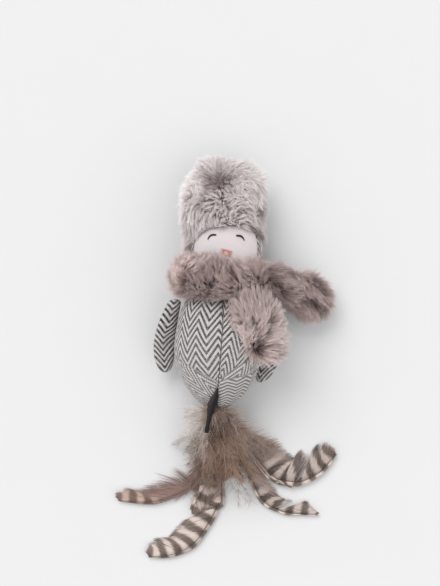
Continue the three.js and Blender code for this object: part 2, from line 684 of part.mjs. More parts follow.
// The rattle's cup, and the lid whose rim slips over the cup's stepped wall.
function rattleHalf(isLid) {
  const { radius, height, wall, lip } = RATTLE;
  const split = height * 0.5;
  const play = 0.15;
  const profile = isLid
    ? [[0, height], [radius, height], [radius, split], [radius - wall / 2 + play, split], [radius - wall / 2 + play, split + lip], [radius - wall, split + lip], [radius - wall, height - wall], [0, height - wall]]
    : [[0, 0], [radius, 0], [radius, split - play], [radius - wall / 2 - play, split - play], [radius - wall / 2 - play, split + lip - play], [radius - wall, split + lip - play], [radius - wall, wall], [0, wall]];
  const points = profile.map((pair) => new THREE.Vector2(...pair));
  const turned = new THREE.LatheGeometry(isLid ? points.reverse() : points, 24).rotateX(Math.PI / 2);
  return turned.translate(RATTLE.centre[0], RATTLE.centre[1], RATTLE.centre[2] - height / 2);
}

// The room the rattle takes in the wadding, open towards the film.
function rattleRoom() {
  const [x, y, z] = RATTLE.centre;
  const low = z - RATTLE.height / 2 - GAP;
  return new THREE.CylinderGeometry(RATTLE.radius + GAP, RATTLE.radius + GAP, AXIS_Z - low, 24)
    .rotateX(Math.PI / 2)
    .translate(x, y, (AXIS_Z + low) / 2);
}

function pellet(number) {
  const angle = (2 * Math.PI * number) / PELLETS + 0.4;
  const low = RATTLE.centre[2] - RATTLE.height / 2 + RATTLE.wall + RATTLE.pellet + 0.2;
  return new THREE.SphereGeometry(RATTLE.pellet, 12, 8).translate(
    RATTLE.centre[0] + RATTLE.pelletRing * Math.cos(angle),
    RATTLE.centre[1] + RATTLE.pelletRing * Math.sin(angle),
    low,
  );
}

// assembly
const bird = new THREE.Group();
bird.name = "winter_bird";

function add(name, geometry, surface, parent = bird) {
  const mesh = new THREE.Mesh(geometry, surface);
  mesh.name = name;
  parent.add(mesh);
}

const floor = below(0);
const bodyOuter = bodyForm(-GAP);
const headOuter = headForm(GAP);
const neckCut = behind(HEAD.neckY);

function buildBody() {
  add("body_front_right", bodyPanel("body_front_right"), TWEED);
  add("body_front_left", bodyPanel("body_front_left"), TWEED);
  add("body_back", cut(bodyPanel("body_back"), floor), TWEED);
}

function buildInside() {
  const filling = bodyForm(CLOTH + GAP);
  const layer = FILM.crease + FILM.thickness / 2 + GAP;
  add("wadding_front", cut(filling, below(AXIS_Z + layer), pouchRoom(), stemRoom()), WADDING);
  add("wadding_back", cut(filling, above(AXIS_Z - layer), rattleRoom(), stemRoom()), WADDING);
  add("catnip_pouch", catnipPouch(), COTTON);
  add("crinkle_film", crinkleFilm(), FILM_PLASTIC);
  add("rattle_cup", rattleHalf(false), CASE_PLASTIC);
  add("rattle_lid", rattleHalf(true), CASE_PLASTIC);
  for (let i = 0; i < PELLETS; i++) add(`rattle_pellet_${i + 1}`, pellet(i), PELLET_PLASTIC);
}

function buildHead() {
  const seam = 0.6; // degrees that the seam takes on each side
  add("head_hood", cut(headShell(-90, HEAD.faceFrom - seam, 10), neckCut), TWEED);
  add("face_panel", cut(headShell(HEAD.faceFrom + seam, 90, 6), neckCut), FLEECE);
  add("head_wadding", cut(headForm(-CLOTH - 2 * GAP, 20), neckCut), WADDING);
  add("eye_right", eye(-1), EYE_THREAD);
  add("eye_left", eye(1), EYE_THREAD);
  add("beak_outline", beakOutline(), BEAK_THREAD);
  add("beak_fill", beakFill(), BEAK_FILL);
}

function buildHat() {
  add("hat", cut(hatForm(), headOuter, hatFill(GAP), faceWindow(), floor), HAT_FUR);
  add("hat_wadding", cut(hatFill(0), headOuter), WADDING);
}

function buildScarf() {
  const sideSeat = block([COLLAR.sideFlatX, 0, COLLAR.sideFlatLow], [FAR, FAR, FAR]);
  const frontSeat = block([COLLAR.frontFlatLeft, -FAR, COLLAR.frontFlatLow], [FAR, COLLAR.frontFlatY, FAR]);
  add("scarf_collar", cut(collarForm(), headOuter, bodyOuter, sideSeat, frontSeat, floor, ...wingSeats()), SCARF_FUR);
  add("scarf_end_side", scarfEnd(SIDE_END, (s, a, b) => new THREE.Vector3(s, a, b)), SCARF_FUR);
  const front = scarfEnd(FRONT_END, (s, a, b) => new THREE.Vector3(a, s, b));
  add("scarf_end_front", cut(front, ...liftedBodies()), SCARF_FUR);
}

function buildWings() {
  for (const [name, wing] of Object.entries(WINGS)) {
    add(`${name}_top`, cut(wingHalf(wing, 1), bodyOuter), TWEED);
    add(`${name}_under`, cut(wingHalf(wing, -1), bodyOuter), TWEED);
  }
}

function buildTail() {
  add("tail_binding", binding(), BINDING_THREAD);
  for (const [name, shape] of Object.entries(FEATHERS)) add(name, feather(shape), VANE);
  const front = [quillLayer(DOWN.clearance, 1, true), bindingRoom(), ...bodyRooms()];
  const back = [quillLayer(-DOWN.clearance, 0, false), bindingRoom(), ...bodyRooms(), below(0.3)];
  add("down_front", downCloud(DOWN.frontCentre, DOWN.frontRadii, front), DOWN_TUFT);
  add("down_back", downCloud(DOWN.backCentre, DOWN.backRadii, back), DOWN_TUFT);
  add("tail_tab", tailTab(), SUEDE);
}

buildBody();
buildInside();
buildHead();
buildHat();
buildScarf();
buildWings();
buildTail();

export default bird;
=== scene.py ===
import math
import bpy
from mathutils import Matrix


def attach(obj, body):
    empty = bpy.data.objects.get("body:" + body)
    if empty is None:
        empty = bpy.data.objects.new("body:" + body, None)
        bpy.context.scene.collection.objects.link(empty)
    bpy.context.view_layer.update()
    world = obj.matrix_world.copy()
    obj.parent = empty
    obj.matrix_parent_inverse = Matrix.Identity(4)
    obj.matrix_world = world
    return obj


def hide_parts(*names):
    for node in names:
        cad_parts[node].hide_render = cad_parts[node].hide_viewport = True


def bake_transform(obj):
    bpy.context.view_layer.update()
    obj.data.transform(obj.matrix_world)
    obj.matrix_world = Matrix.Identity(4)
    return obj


bl_info = {
    "name": "Plush winter bird",
    "version": (1, 0, 0),
    "blender": (4, 5, 0),
    "location": "3D View > Sidebar > Plush bird",
    "description": "Sews, furs and feathers a plush bird round its packed frame",
    "category": "Object",
}

from functools import partial

import bpy
import numpy as np
from mathutils import Vector
from mathutils.kdtree import KDTree

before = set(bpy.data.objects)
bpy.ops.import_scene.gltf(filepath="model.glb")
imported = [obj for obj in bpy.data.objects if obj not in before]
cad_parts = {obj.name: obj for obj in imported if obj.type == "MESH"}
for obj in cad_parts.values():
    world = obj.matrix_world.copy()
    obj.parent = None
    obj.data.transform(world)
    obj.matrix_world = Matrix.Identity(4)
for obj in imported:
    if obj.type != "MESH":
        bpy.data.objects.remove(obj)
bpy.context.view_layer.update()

# Sizes are in millimetres, in the frame's own axes, and are made metres when a mesh is made
MM = 0.001
AXIS_Z = 22.0
FLOOR = 0.5
CLOTH = 1.2

BODY_OUTLINE = [
    (3.0, -33.4), (8.4, -31.0), (14.4, -25.6), (20.6, -17.0), (24.8, -6.0),
    (25.7, 3.0), (25.1, 13.0), (22.9, 22.0), (18.8, 29.0), (13.0, 34.4),
]
BODY_DEPTH = 0.879

# Panels of the body: from and to in degrees round it, a peak of the weave there, the weave's turn
# and its slope
BODY_PANELS = {
    "body_front_left": (0.0, 90.0, 80.0, 11.0, 1.8),
    "body_front_right": (90.0, 180.0, 119.4, 0.0, 1.45),
    "body_back": (180.0, 360.0, 270.0, 0.0, 1.5),
}
TUCK = [(-26.0, -4.6), (-8.7, -13.4), (-0.5, -17.1), (7.8, -10.6), (17.8, -2.8), (26.0, 2.0)]
LOW_FOLD = [(-26.0, -16.0), (-0.5, -17.0), (18.0, -12.6), (26.0, -8.0)]
TUCK_DIP = 0.45
TUCK_WIDTH = 0.9
GRAIN_WANDER = 0.28
GORE_RIM = 0.9
GORE_LUMPS = 0.21
PLEAT_DEPTH = 0.3
PLEAT_REACH = 9.0
PLEATS = 14

# Folds of the cloth that is gathered on the front: the line each starts under, a place on a
# column's edge and whether that is a peak (0) or a valley (1), the weave's turn there, its slope
# and how closely its stripes lie
FOLDS = {
    "body_front_left": [
        (TUCK, (12.7, -8.1), 0, 22.5, 1.9, 1.0),
        (LOW_FOLD, (9.2, -21.7), 1, -7.0, 0.36, 2.0),
    ],
    "body_front_right": [(TUCK, (-9.5, -15.0), 0, -43.0, 3.0, 0.66)],
}
WAIST = 38.0
SEAM_DIP = 0.75
SEAM_WIDTH = 1.3
SEAM_HOLD = 0.8
SEAM_SWAY = 4.5
COLUMN_RADIUS = 25.7
COLUMN_EASE = 0.4

HEAD_CENTRE = (1.8, 57.0, 22.0)
HEAD_RADII = (20.5, 24.0, 19.0)
FACE_EDGE_Z = 30.0
FACE_TUCK = 0.8
FACE_TUCK_WIDTH = 1.5
NECK_Y = 35.6
EYE_APART = 15.9
EYE_Y = 63.5
EYE_HALF = 2.55
EYE_RISE = 1.2
EYE_TILT = 29.0
EYE_STITCH = 0.56
EYE_STITCHES = 30
STITCH_RISE = 0.42
BEAK_CENTRE = (2.2, 54.9)
BEAK_TOP = 5.8
BEAK_FOOT = 4.4
BEAK_HEIGHT = 3.5
BEAK_TURN = -12.0

HAT_OUTLINE = [
    (0.0, 110.6), (7.0, 109.9), (13.4, 107.0), (19.2, 101.6), (22.8, 95.4),
    (24.8, 86.0), (25.0, 77.0), (24.2, 67.0), (22.6, 59.0), (21.2, 53.6),
]
HAT_DEPTH = 0.9
HAT_WINDOW = ((2.0, 50.0), (18.5, 20.2), 3.0)
HAT_WINDOW_Z = 26.0
HAT_CLOTH = 1.4
WHORL = (-5.4, 96.6)
WHORL_RADIUS = 5.5
WHORL_DEPTH = 1.8

COLLAR_Y = 40.0
COLLAR_RING = 18.5
COLLAR_RADII = (11.6, 13.3)
COLLAR_DEPTH = 0.88
COLLAR_Z = 25.99
COLLAR_TILT = 1.6
# Hanging ends: place along the end, across it, height, half width and half thickness
SIDE_END = [
    (25.3, 40.6, 30.0, 10.4, 11.5), (33.0, 39.2, 27.0, 11.6, 11.6), (42.0, 35.8, 20.6, 13.6, 11.8),
    (52.0, 32.8, 15.0, 14.6, 12.0), (60.0, 31.5, 12.4, 13.4, 11.4), (65.0, 30.8, 11.6, 9.6, 8.6),
    (67.4, 30.5, 11.4, 4.2, 4.0),
]
FRONT_END = [
    (30.8, 16.4, 43.0, 10.0, 9.5), (24.0, 18.4, 42.5, 14.3, 10.0), (12.0, 21.4, 41.0, 15.4, 10.4),
    (0.8, 23.8, 39.5, 14.4, 10.0), (-7.2, 24.8, 38.4, 11.2, 8.0), (-10.8, 25.4, 38.0, 4.8, 3.6),
]
# Where each loose end of the scarf begins and ends to turn on the collar
BENDS = {
    "scarf_end_side": ((25.3, 40.6, 41.5), (38.0, 40.6, 41.5)),
    "scarf_end_front": ((17.0, 31.5, 52.5), (17.0, 19.0, 52.5)),
}

WING_OUTLINE = [
    (0, 3.6), (0.2, 5.0), (0.42, 6.1), (0.64, 6.6), (0.82, 5.9), (0.93, 4.2), (0.985, 2.2), (1, 0.5),
]
WING_THICK = 3.2
WING_LIP = 0.45
WING_CLOTH = 0.5
WING_SEAM = 0.9
WING_WRINKLE = 0.3
# Wings: the root and the tip, how far the leaf bows sideways, and its lean in degrees
WINGS = {
    "wing_right": {"root": (-25.7, 28.2, 22.4), "tip": (-30.6, -14.4, 12.0), "bow": -2.8, "lean": 24.0},
    "wing_left": {"root": (24.2, 27.6, 21.0), "tip": (24.6, -18.4, 9.0), "bow": 5.4, "lean": -24.0},
}

TAIL_PIVOT = (0.0, -33.6)
TAIL_ROOT = 7.4
TAIL_FAN = (-49.0, 59.0)

# Feathers: the root's turn in the fan and the quill's line; the vane's width on either side, the share
# of the quill where it begins and its width from there to the point; splits, each a share and a side;
# the barbs' sweep at the base and at the point; the layer; the shares where the bars begin and the
# plume ends; how warm the colour is, and where the first bar lies
FEATHERS = {
    "feather_far_right": {
        "angle": -30,
        "line": [(-8.4, -77.6), (-15.3, -82.6), (-32.8, -90.3), (-48.9, -91.1), (-55.9, -90.5)],
        "vane": (12.4, 2.0), "from": 0.34, "leaf": [0.85, 1.0, 1.0, 0.9, 0.76, 0.5, 0.24],
        "splits": [], "sweep": (56, 28), "layer": 0, "bars": 0.5,
        "plume": 0.68, "warm": 1.0, "phase": 2.0,
    },
    "feather_low_right": {
        "angle": -4,
        "line": [
            (4.6, -84.0), (1.5, -93.7), (-9.0, -112.2), (-18.9, -119.6), (-28.5, -122.3), (-37.6, -122.8),
        ],
        "vane": (15.6, 2.4), "from": 0.36, "leaf": [0.8, 1.0, 1.0, 0.96, 0.86, 0.56, 0.14],
        "splits": [(0.5, -1)], "sweep": (56, 50), "layer": 0, "bars": 0.0,
        "plume": 0.14, "warm": 0.15, "phase": 4.0,
    },
    "feather_short": {
        "angle": -12,
        "line": [(-4.9, -76.6), (-7.9, -85.0), (-13.0, -94.4)],
        "vane": (3.4, 7.6), "from": 0.4, "leaf": [0.6, 1.0, 1.0, 0.9, 0.8, 0.55, 0.2],
        "splits": [], "sweep": (50, 36), "layer": 1, "bars": 0.0,
        "plume": 0.25, "warm": 0.4, "phase": 1.0,
    },
    "feather_low_left": {
        "angle": 24,
        "line": [(20.7, -74.3), (28.8, -88.0), (39.5, -93.6), (50.7, -94.9), (61.2, -94.9)],
        "vane": (1.8, 11.6), "from": 0.36, "leaf": [0.7, 1.0, 1.0, 0.9, 0.82, 0.34, 0.08],
        "splits": [(0.7, 1)], "sweep": (60, 34), "layer": 0, "bars": 0.12,
        "plume": 0.3, "warm": 0.1, "phase": 3.0,
    },
    "feather_slim": {
        "angle": 34,
        "line": [(29.9, -72.1), (38.3, -76.4), (46.0, -79.7)],
        "vane": (1.4, 1.6), "from": 0.45, "leaf": [0.6, 1.0, 0.9, 0.8, 0.6, 0.4, 0.2],
        "splits": [], "sweep": (40, 24), "layer": 1, "bars": 0.3,
        "plume": 0.4, "warm": 0.2, "phase": 0.0,
    },
    "feather_far_left": {
        "angle": 42,
        "line": [(31.8, -71.4), (44.8, -76.0), (52.0, -75.4), (62.6, -69.0), (70.6, -58.6)],
        "vane": (3.0, 19.6), "from": 0.32, "leaf": [0.8, 0.95, 1.0, 0.95, 0.74, 0.5, 0.2],
        "splits": [(0.66, 1)], "sweep": (86, 44), "layer": 0.4, "bars": 0.02,
        "plume": 0.12, "warm": 0.2, "phase": 5.0,
    },
}
BAR_PERIOD = 9.0
QUILL_RADII = (0.55, 0.26, 0.08)
QUILL_LOW = 2.4
QUILL_DROP = 19.6
QUILL_EASE = 10.0
LAYER_RISE = 1.7
BARB_TAPER = (1.0, 1.15, 1.15, 1.0, 0.75, 0.12)
BARB_SPACING = 0.42
BARB_SLIM = 0.45
SPLIT_WIDTH = 0.045
SPLIT_TURN = 13
BINDING_ROWS = (1.6, 6.8, 12)
BINDING_THREAD = 0.3
DOWN_MIDDLE = (5.0, -55.0, 8.0)
DOWN_HEARTS = {
    "down_front": ((5.5, -55.4, 14.2), (12.0, 19.6, 8.8)),
    "down_back": ((5.0, -56.0, 7.5), (14.0, 19.0, 5.8)),
}

# Down plumes: fan from and to, shortest and longest, end height from and to, stems, barbs each,
# paleness; each leaves the tail's root, or a crest over the binding
ROOT, CREST = (3.5, -1.5), (-1.5, 4.5)
DOWN_BARB = 0.115
DOWN_TAPER = (1.0, 0.85, 0.6, 0.15)
DOWN_SHADE = 13.0
WISP_BARB = 0.085
DOWN_PLUMES = {
    "down_front": [
        (ROOT, -12, 34, 28, 43, 11, 24, 25, 330, 0.0), (ROOT, 32, 50, 20, 31, 6, 18, 6, 230, 0.15),
        (ROOT, -36, -10, 20, 36, 8, 20, 6, 190, 0.55), (CREST, -80, 80, 7, 13, 21, 27, 10, 100, 0.15),
    ],
    "down_back": [(ROOT, -28, 54, 26, 42, 1, 9, 20, 300, 0.1)],
}
WISP_PLUMES = [
    (ROOT, -45, -20, 18, 30, 3, 20, 14, 150, 0.95), (ROOT, -86, -52, 8, 15, 12, 24, 8, 110, 0.95),
    (ROOT, 56, 84, 8, 15, 12, 22, 6, 110, 0.7), (ROOT, 38, 62, 30, 39, 4, 14, 9, 100, 0.5),
    (ROOT, -8, 22, 44, 56, 2, 8, 9, 70, 0.5),
]
# The suede strip: x, y, half width and height along it
TAB_STATIONS = [
    (-0.1, -20.8, 0.4, 38.8), (-0.8, -24.0, 1.4, 37.0), (-1.8, -27.4, 2.4, 35.4), (-2.8, -30.6, 2.6, 34.2),
    (-3.6, -34.4, 1.8, 33.0), (-4.4, -39.0, 1.25, 32.2), (-5.0, -43.0, 1.2, 31.8),
    (-5.4, -46.6, 1.15, 31.6),
]
TAB_THICK = 0.9
TAB_RIDGE = 1.1
POUCH = {"centre": (-7.0, 3.0, 27.4), "half": (10.5, 14.5), "thick": 3.6}
FILM = {"centre": (0.0, -1.0, 22.0), "size": (31.0, 40.0), "thick": 0.12, "crease": 0.45, "folds": 9}

# Partings are lines on the front of a fur, (x, y, x, y, half width, pull, shadow)
HAT_PARTINGS = [
    (-3.8, 94.2, -3.8, 94.2, 7.6, 2.4, 0.7),
    (-3.8, 94.2, -3.8, 94.2, 2.6, 0.4, 0.9),
    (-4.3, 93.8, -10.4, 99.6, 2.0, 1.0, 0.5),
    (-3.3, 94.8, -1.4, 104.5, 1.6, 0.8, 0.45),
    (-2.8, 94.0, 4.6, 97.1, 1.4, 0.8, 0.35),
    (-7.0, 91.5, -10.0, 81.0, 2.8, 1.0, 0.6),
    (17.6, 80.4, 19.8, 78.0, 3.6, 1.4, 1.7),
    (12.6, 71.4, 19.0, 65.6, 3.6, 0.5, 1.7),
    (0.5, 106.5, 3.5, 108.5, 2.4, 0.6, 0.45),
]
COLLAR_PARTINGS = [
    (-18.2, 41.5, -18.0, 36.5, 2.6, 1.8, 0.6),
    (-16.5, 38.0, -8.0, 44.0, 2.0, 0.9, 0.45),
    (-14.0, 36.0, -2.0, 37.5, 1.8, 0.8, 0.45),
    (2.0, 47.0, 8.0, 38.0, 2.4, 0.9, 0.5),
]
SIDE_PARTINGS = [
    (24.0, 43.0, 34.0, 35.0, 3.0, 1.0, 0.7),
    (36.0, 44.0, 42.0, 32.0, 2.4, 1.0, 0.6),
    (44.0, 33.0, 58.0, 28.0, 3.2, 1.2, 0.75),
    (50.0, 42.0, 56.0, 35.0, 2.4, 1.0, 0.6),
]
FRONT_PARTINGS = [
    (20.8, 2.6, 20.8, 2.6, 3.4, 1.6, 0.8),
    (21.0, 3.2, 26.8, 17.0, 1.5, 0.7, 0.65),
    (20.4, 4.2, 18.2, 17.6, 1.4, 0.5, 0.5),
    (22.0, 3.4, 29.6, 5.6, 1.3, 0.5, 0.55),
    (9.0, 31.0, 13.0, 27.0, 1.8, 0.7, 0.35),
]

# Places where a fur is made lighter or darker: x, y, half width, amount. Some are the fur's own frosted or
# darker patches; others are painted light, as on the collar's left rim and the front end's shadowed lower
# edge, and painted shade on the front end under the collar.
FROST_AND_PAINTED_LIGHT = {
    "hat": [
        (19.0, 86.0, 10.0, 0.2), (11.0, 93.5, 7.0, 0.4), (-12.4, 95.5, 5.0, 0.25), (-22.0, 84.0, 9.0, 0.15),
        (-1.0, 108.0, 6.0, -0.2), (-17.6, 68.0, 6.0, -0.12),
    ],
    "scarf_collar": [
        (-31.0, 41.0, 8.5, 0.9), (-21.0, 41.0, 8.0, 0.3), (-20.0, 49.0, 5.0, 0.3),
        (-5.2, 43.0, 8.0, -0.25), (22.5, 40.5, 7.0, -0.4),
    ],
    "scarf_end_side": [(26.0, 40.5, 7.0, -0.35), (50.7, 37.0, 7.0, -0.35), (44.0, 26.0, 7.0, -0.12)],
    "scarf_end_front": [(25.0, -8.0, 9.0, 0.9), (33.0, 9.0, 7.0, 0.45), (20.0, 27.0, 10.0, -0.6)],
}


def tint(red, green, blue):
    """Turns a screen colour from 0 to 255 into the linear one that a material holds."""
    def straight(value):
        value = value / 255
        return value / 12.92 if value <= 0.04045 else ((value + 0.055) / 1.055) ** 2.4

    return (straight(red), straight(green), straight(blue))


def unit(vectors):
    return vectors / np.maximum(np.linalg.norm(vectors, axis=-1, keepdims=True), 1e-9)


def dot(first, second):
    return (first * second).sum(axis=-1, keepdims=True)


def bell(distance, width):
    """Falls smoothly from 1 where the distance is 0 to 0 well past the width."""
    return np.exp(-((distance / width) ** 2))


def spline(stations, shares):
    """Points on a smooth curve through the stations, at shares from 0 to 1 of its spans."""
    stations = np.array(stations, float)
    spans = len(stations) - 1
    place = np.clip(np.asarray(shares, float), 0, 1) * spans
    span = np.minimum(place.astype(int), spans - 1)
    t = (place - span)[:, None]
    before = stations[np.maximum(span - 1, 0)]
    here = stations[span]
    after = stations[span + 1]
    beyond = stations[np.minimum(span + 2, spans)]
    return (
        here
        + 0.5 * t * (after - before)
        + t**2 * (before - 2.5 * here + 2 * after - 0.5 * beyond)
        + t**3 * (1.5 * here - 0.5 * before - 1.5 * after + 0.5 * beyond)
    )


def drift(points, size, seed, waves=7):
    """A smooth random field of three values a point that changes over about that size."""
    rng = np.random.default_rng(seed)
    field = np.zeros((len(points), 3))
    for _ in range(waves):
        run = rng.normal(size=(3, 3)) / size
        field += np.sin(points @ run + rng.uniform(0, 2 * math.pi, 3))
    return field / math.sqrt(waves / 2)


def head_push(points, clear):
    """Moves points that would lie in the head out to its surface."""
    centre = np.array(HEAD_CENTRE)
    radii = np.array(HEAD_RADII) + clear
    offset = points - centre
    depth = np.sqrt(((offset / radii) ** 2).sum(axis=-1, keepdims=True))
    return np.where((depth < 1) & (depth > 0.2), centre + offset / np.maximum(depth, 0.2), points)


def body_push(points, clear):
    """Moves points that would lie in the body out to its surface."""
    outline = np.array(BODY_OUTLINE)
    radius = np.interp(points[:, 1], outline[:, 1], outline[:, 0], left=0, right=0) + clear
    across = points[:, 0]
    up = (points[:, 2] - AXIS_Z) / BODY_DEPTH
    reach = np.hypot(across, up)
    inside = (radius > clear + 0.01) & (reach < radius) & (reach > 0.3 * radius)
    grow = np.where(inside, radius / np.maximum(reach, 1e-6), 1.0)
    moved = points.copy()
    moved[:, 0] = across * grow
    return pressed(moved, grow)


def pressed(points, share):
    """Brings points nearer to the height of the long axis, by a share."""
    points[:, 2] = AXIS_Z + (points[:, 2] - AXIS_Z) * share
    return points


def floor_push(points):
    moved = points.copy()
    moved[:, 2] = np.maximum(moved[:, 2], FLOOR)
    return moved


# Handwork: the steps that a modeller takes in edit mode
def pick_up(piece):
    bpy.ops.object.select_all(action="DESELECT")
    piece.select_set(True)
    bpy.context.view_layer.objects.active = piece


def start(name, adder, **settings):
    """Adds a primitive with nothing else selected and names it."""
    bpy.ops.object.select_all(action="DESELECT")
    adder(**settings)
    piece = bpy.context.object
    piece.name = name
    piece.data.name = name
    return piece


def flat_grid(name, columns, rows):
    """Adds a flat grid, and gives its places across and along it, from -1 to 1."""
    adder = bpy.ops.mesh.primitive_grid_add
    piece = start(name, adder, x_subdivisions=columns, y_subdivisions=rows, size=2.0)
    flat = points_of(piece) * MM
    return piece, flat[:, 0], flat[:, 1]


class Editing:
    """Edit mode on one piece, with everything on it selected at the start."""

    def __init__(self, piece):
        self.piece = piece

    def __enter__(self):
        pick_up(self.piece)
        bpy.ops.object.mode_set(mode="EDIT")
        bpy.ops.mesh.select_all(action="SELECT")

    def __exit__(self, *error):
        bpy.ops.object.mode_set(mode="OBJECT")


def shaped(piece, kind, **settings):
    """Puts a modifier on a piece and applies it."""
    modifier = piece.modifiers.new(kind.title(), kind)
    for name, value in settings.items():
        setattr(modifier, name, value)
    pick_up(piece)
    bpy.ops.object.modifier_apply(modifier=modifier.name)
    return piece


def rounded(piece, levels):
    return shaped(piece, "SUBSURF", levels=levels, render_levels=levels)


def walled(piece, thickness):
    return shaped(piece, "SOLIDIFY", thickness=thickness * MM, offset=-1.0, use_even_offset=True)


def smooth(piece):
    pick_up(piece)
    bpy.ops.object.shade_smooth()
    return piece


def points_of(piece):
    """The piece's vertices in millimetres."""
    flat = np.empty(len(piece.data.vertices) * 3)
    piece.data.vertices.foreach_get("co", flat)
    return flat.reshape(-1, 3) / MM


def put_points(piece, points):
    piece.data.vertices.foreach_set("co", (points * MM).ravel())
    piece.data.update()


def normals_of(piece):
    flat = np.empty(len(piece.data.vertices) * 3, np.float32)
    piece.data.vertex_normals.foreach_get("vector", flat)
    return flat.reshape(-1, 3).astype(float)


def put_mark(mesh, mark, values):
    """Gives every vertex a value that the piece's finish reads."""
    full = np.broadcast_to(values, len(mesh.vertices)).astype(np.float32)
    mesh.attributes.new(mark, "FLOAT", "POINT").data.foreach_set("value", full)


def in_order(piece):
    """Lists the faces in one order: extrude and spin leave them in another one at every run."""
    faces = []
    for face in piece.data.polygons:
        corners = list(face.vertices)
        first = corners.index(min(corners))
        faces.append(corners[first:] + corners[:first])
    points = points_of(piece) * MM
    piece.data.clear_geometry()
    piece.data.from_pydata(points.tolist(), [], sorted(faces))


def spun(name, outline, turn_from, sweep, steps):
    """Draws an outline edge by edge and spins it about the bird's long axis."""
    piece = start(name, bpy.ops.mesh.primitive_plane_add, size=MM)
    c, s = math.cos(math.radians(turn_from)), math.sin(math.radians(turn_from))
    stations = [Vector((radius * c, y, AXIS_Z + radius * s)) * MM for radius, y in outline]
    with Editing(piece):
        bpy.ops.mesh.merge(type="CENTER")
        bpy.ops.transform.translate(value=stations[0])
        for here, there in zip(stations, stations[1:]):
            bpy.ops.mesh.extrude_region_move(TRANSFORM_OT_translate={"value": there - here})
        bpy.ops.mesh.select_all(action="SELECT")
        bpy.ops.mesh.spin(
            steps=steps, angle=math.radians(sweep), center=(0, 0, AXIS_Z * MM), axis=(0, 1, 0)
        )
        bpy.ops.mesh.select_all(action="SELECT")
        bpy.ops.mesh.remove_doubles(threshold=0.02 * MM)
        bpy.ops.mesh.normals_make_consistent(inside=False)
    in_order(piece)
    face_outwards(piece)
    return piece


def face_outwards(piece):
    """Turns a whole open patch over where its faces look at the bird's long axis."""
    points = points_of(piece)
    away = points - np.array([0, points[:, 1].mean(), AXIS_Z])
    away[:, 1] *= 0.2
    if (normals_of(piece) * away).sum() < 0:
        with Editing(piece):
            bpy.ops.mesh.flip_normals()


def drawn_out(name, axis, stations, sides):
    """Extrudes a filled ring from station to station along X or Y, and scales it at each."""
    along = 0 if axis == "X" else 1
    turn = (0, math.pi / 2, 0) if axis == "X" else (math.pi / 2, 0, 0)
    piece = start(
        name, bpy.ops.mesh.primitive_circle_add, vertices=sides, radius=MM, fill_type="NGON", rotation=turn
    )
    pick_up(piece)
    bpy.ops.object.transform_apply(location=False, rotation=True, scale=False)

    def place(station):
        at, first, height, _, _ = station
        return Vector((at, first, height) if along == 0 else (first, at, height)) * MM

    def size(station):
        _, _, _, half, tall = station
        return (1.0, half, tall) if along == 0 else (half, 1.0, tall)

    with Editing(piece):
        bpy.ops.transform.resize(value=size(stations[0]), center_override=(0, 0, 0))
        bpy.ops.transform.translate(value=place(stations[0]))
        for here, there in zip(stations, stations[1:]):
            bpy.ops.mesh.extrude_region_move(TRANSFORM_OT_translate={"value": place(there) - place(here)})
            ratio = [b / a for a, b in zip(size(here), size(there))]
            bpy.ops.transform.resize(value=ratio, center_override=place(there))
        bpy.ops.mesh.select_all(action="SELECT")
        bpy.ops.mesh.normals_make_consistent(inside=False)
    in_order(piece)
    return piece


def joined(name, pieces):
    """Joins pieces into one mesh under a name."""
    pick_up(pieces[0])
    for piece in pieces[1:]:
        piece.select_set(True)
    if len(pieces) > 1:
        bpy.ops.object.join()
    pieces[0].name = name
    pieces[0].data.name = name
    return pieces[0]


# How far a hair is shaded as a rod of its own, and how far it is lit as from above
ROD_SHARE = 0.35
SKY_SHARE = 0.9

# A hair: how much its first half leans and its second half still stands, where it bends, how deep
# its foot is set, and its thickness at the foot, at the bend and at the point
HAIR_LEAN = 0.55
HAIR_RISE = 0.45
HAIR_BEND = 0.48
HAIR_FOOT = 0.5
HAIR_TAPER = (1.0, 0.85, 0.12)


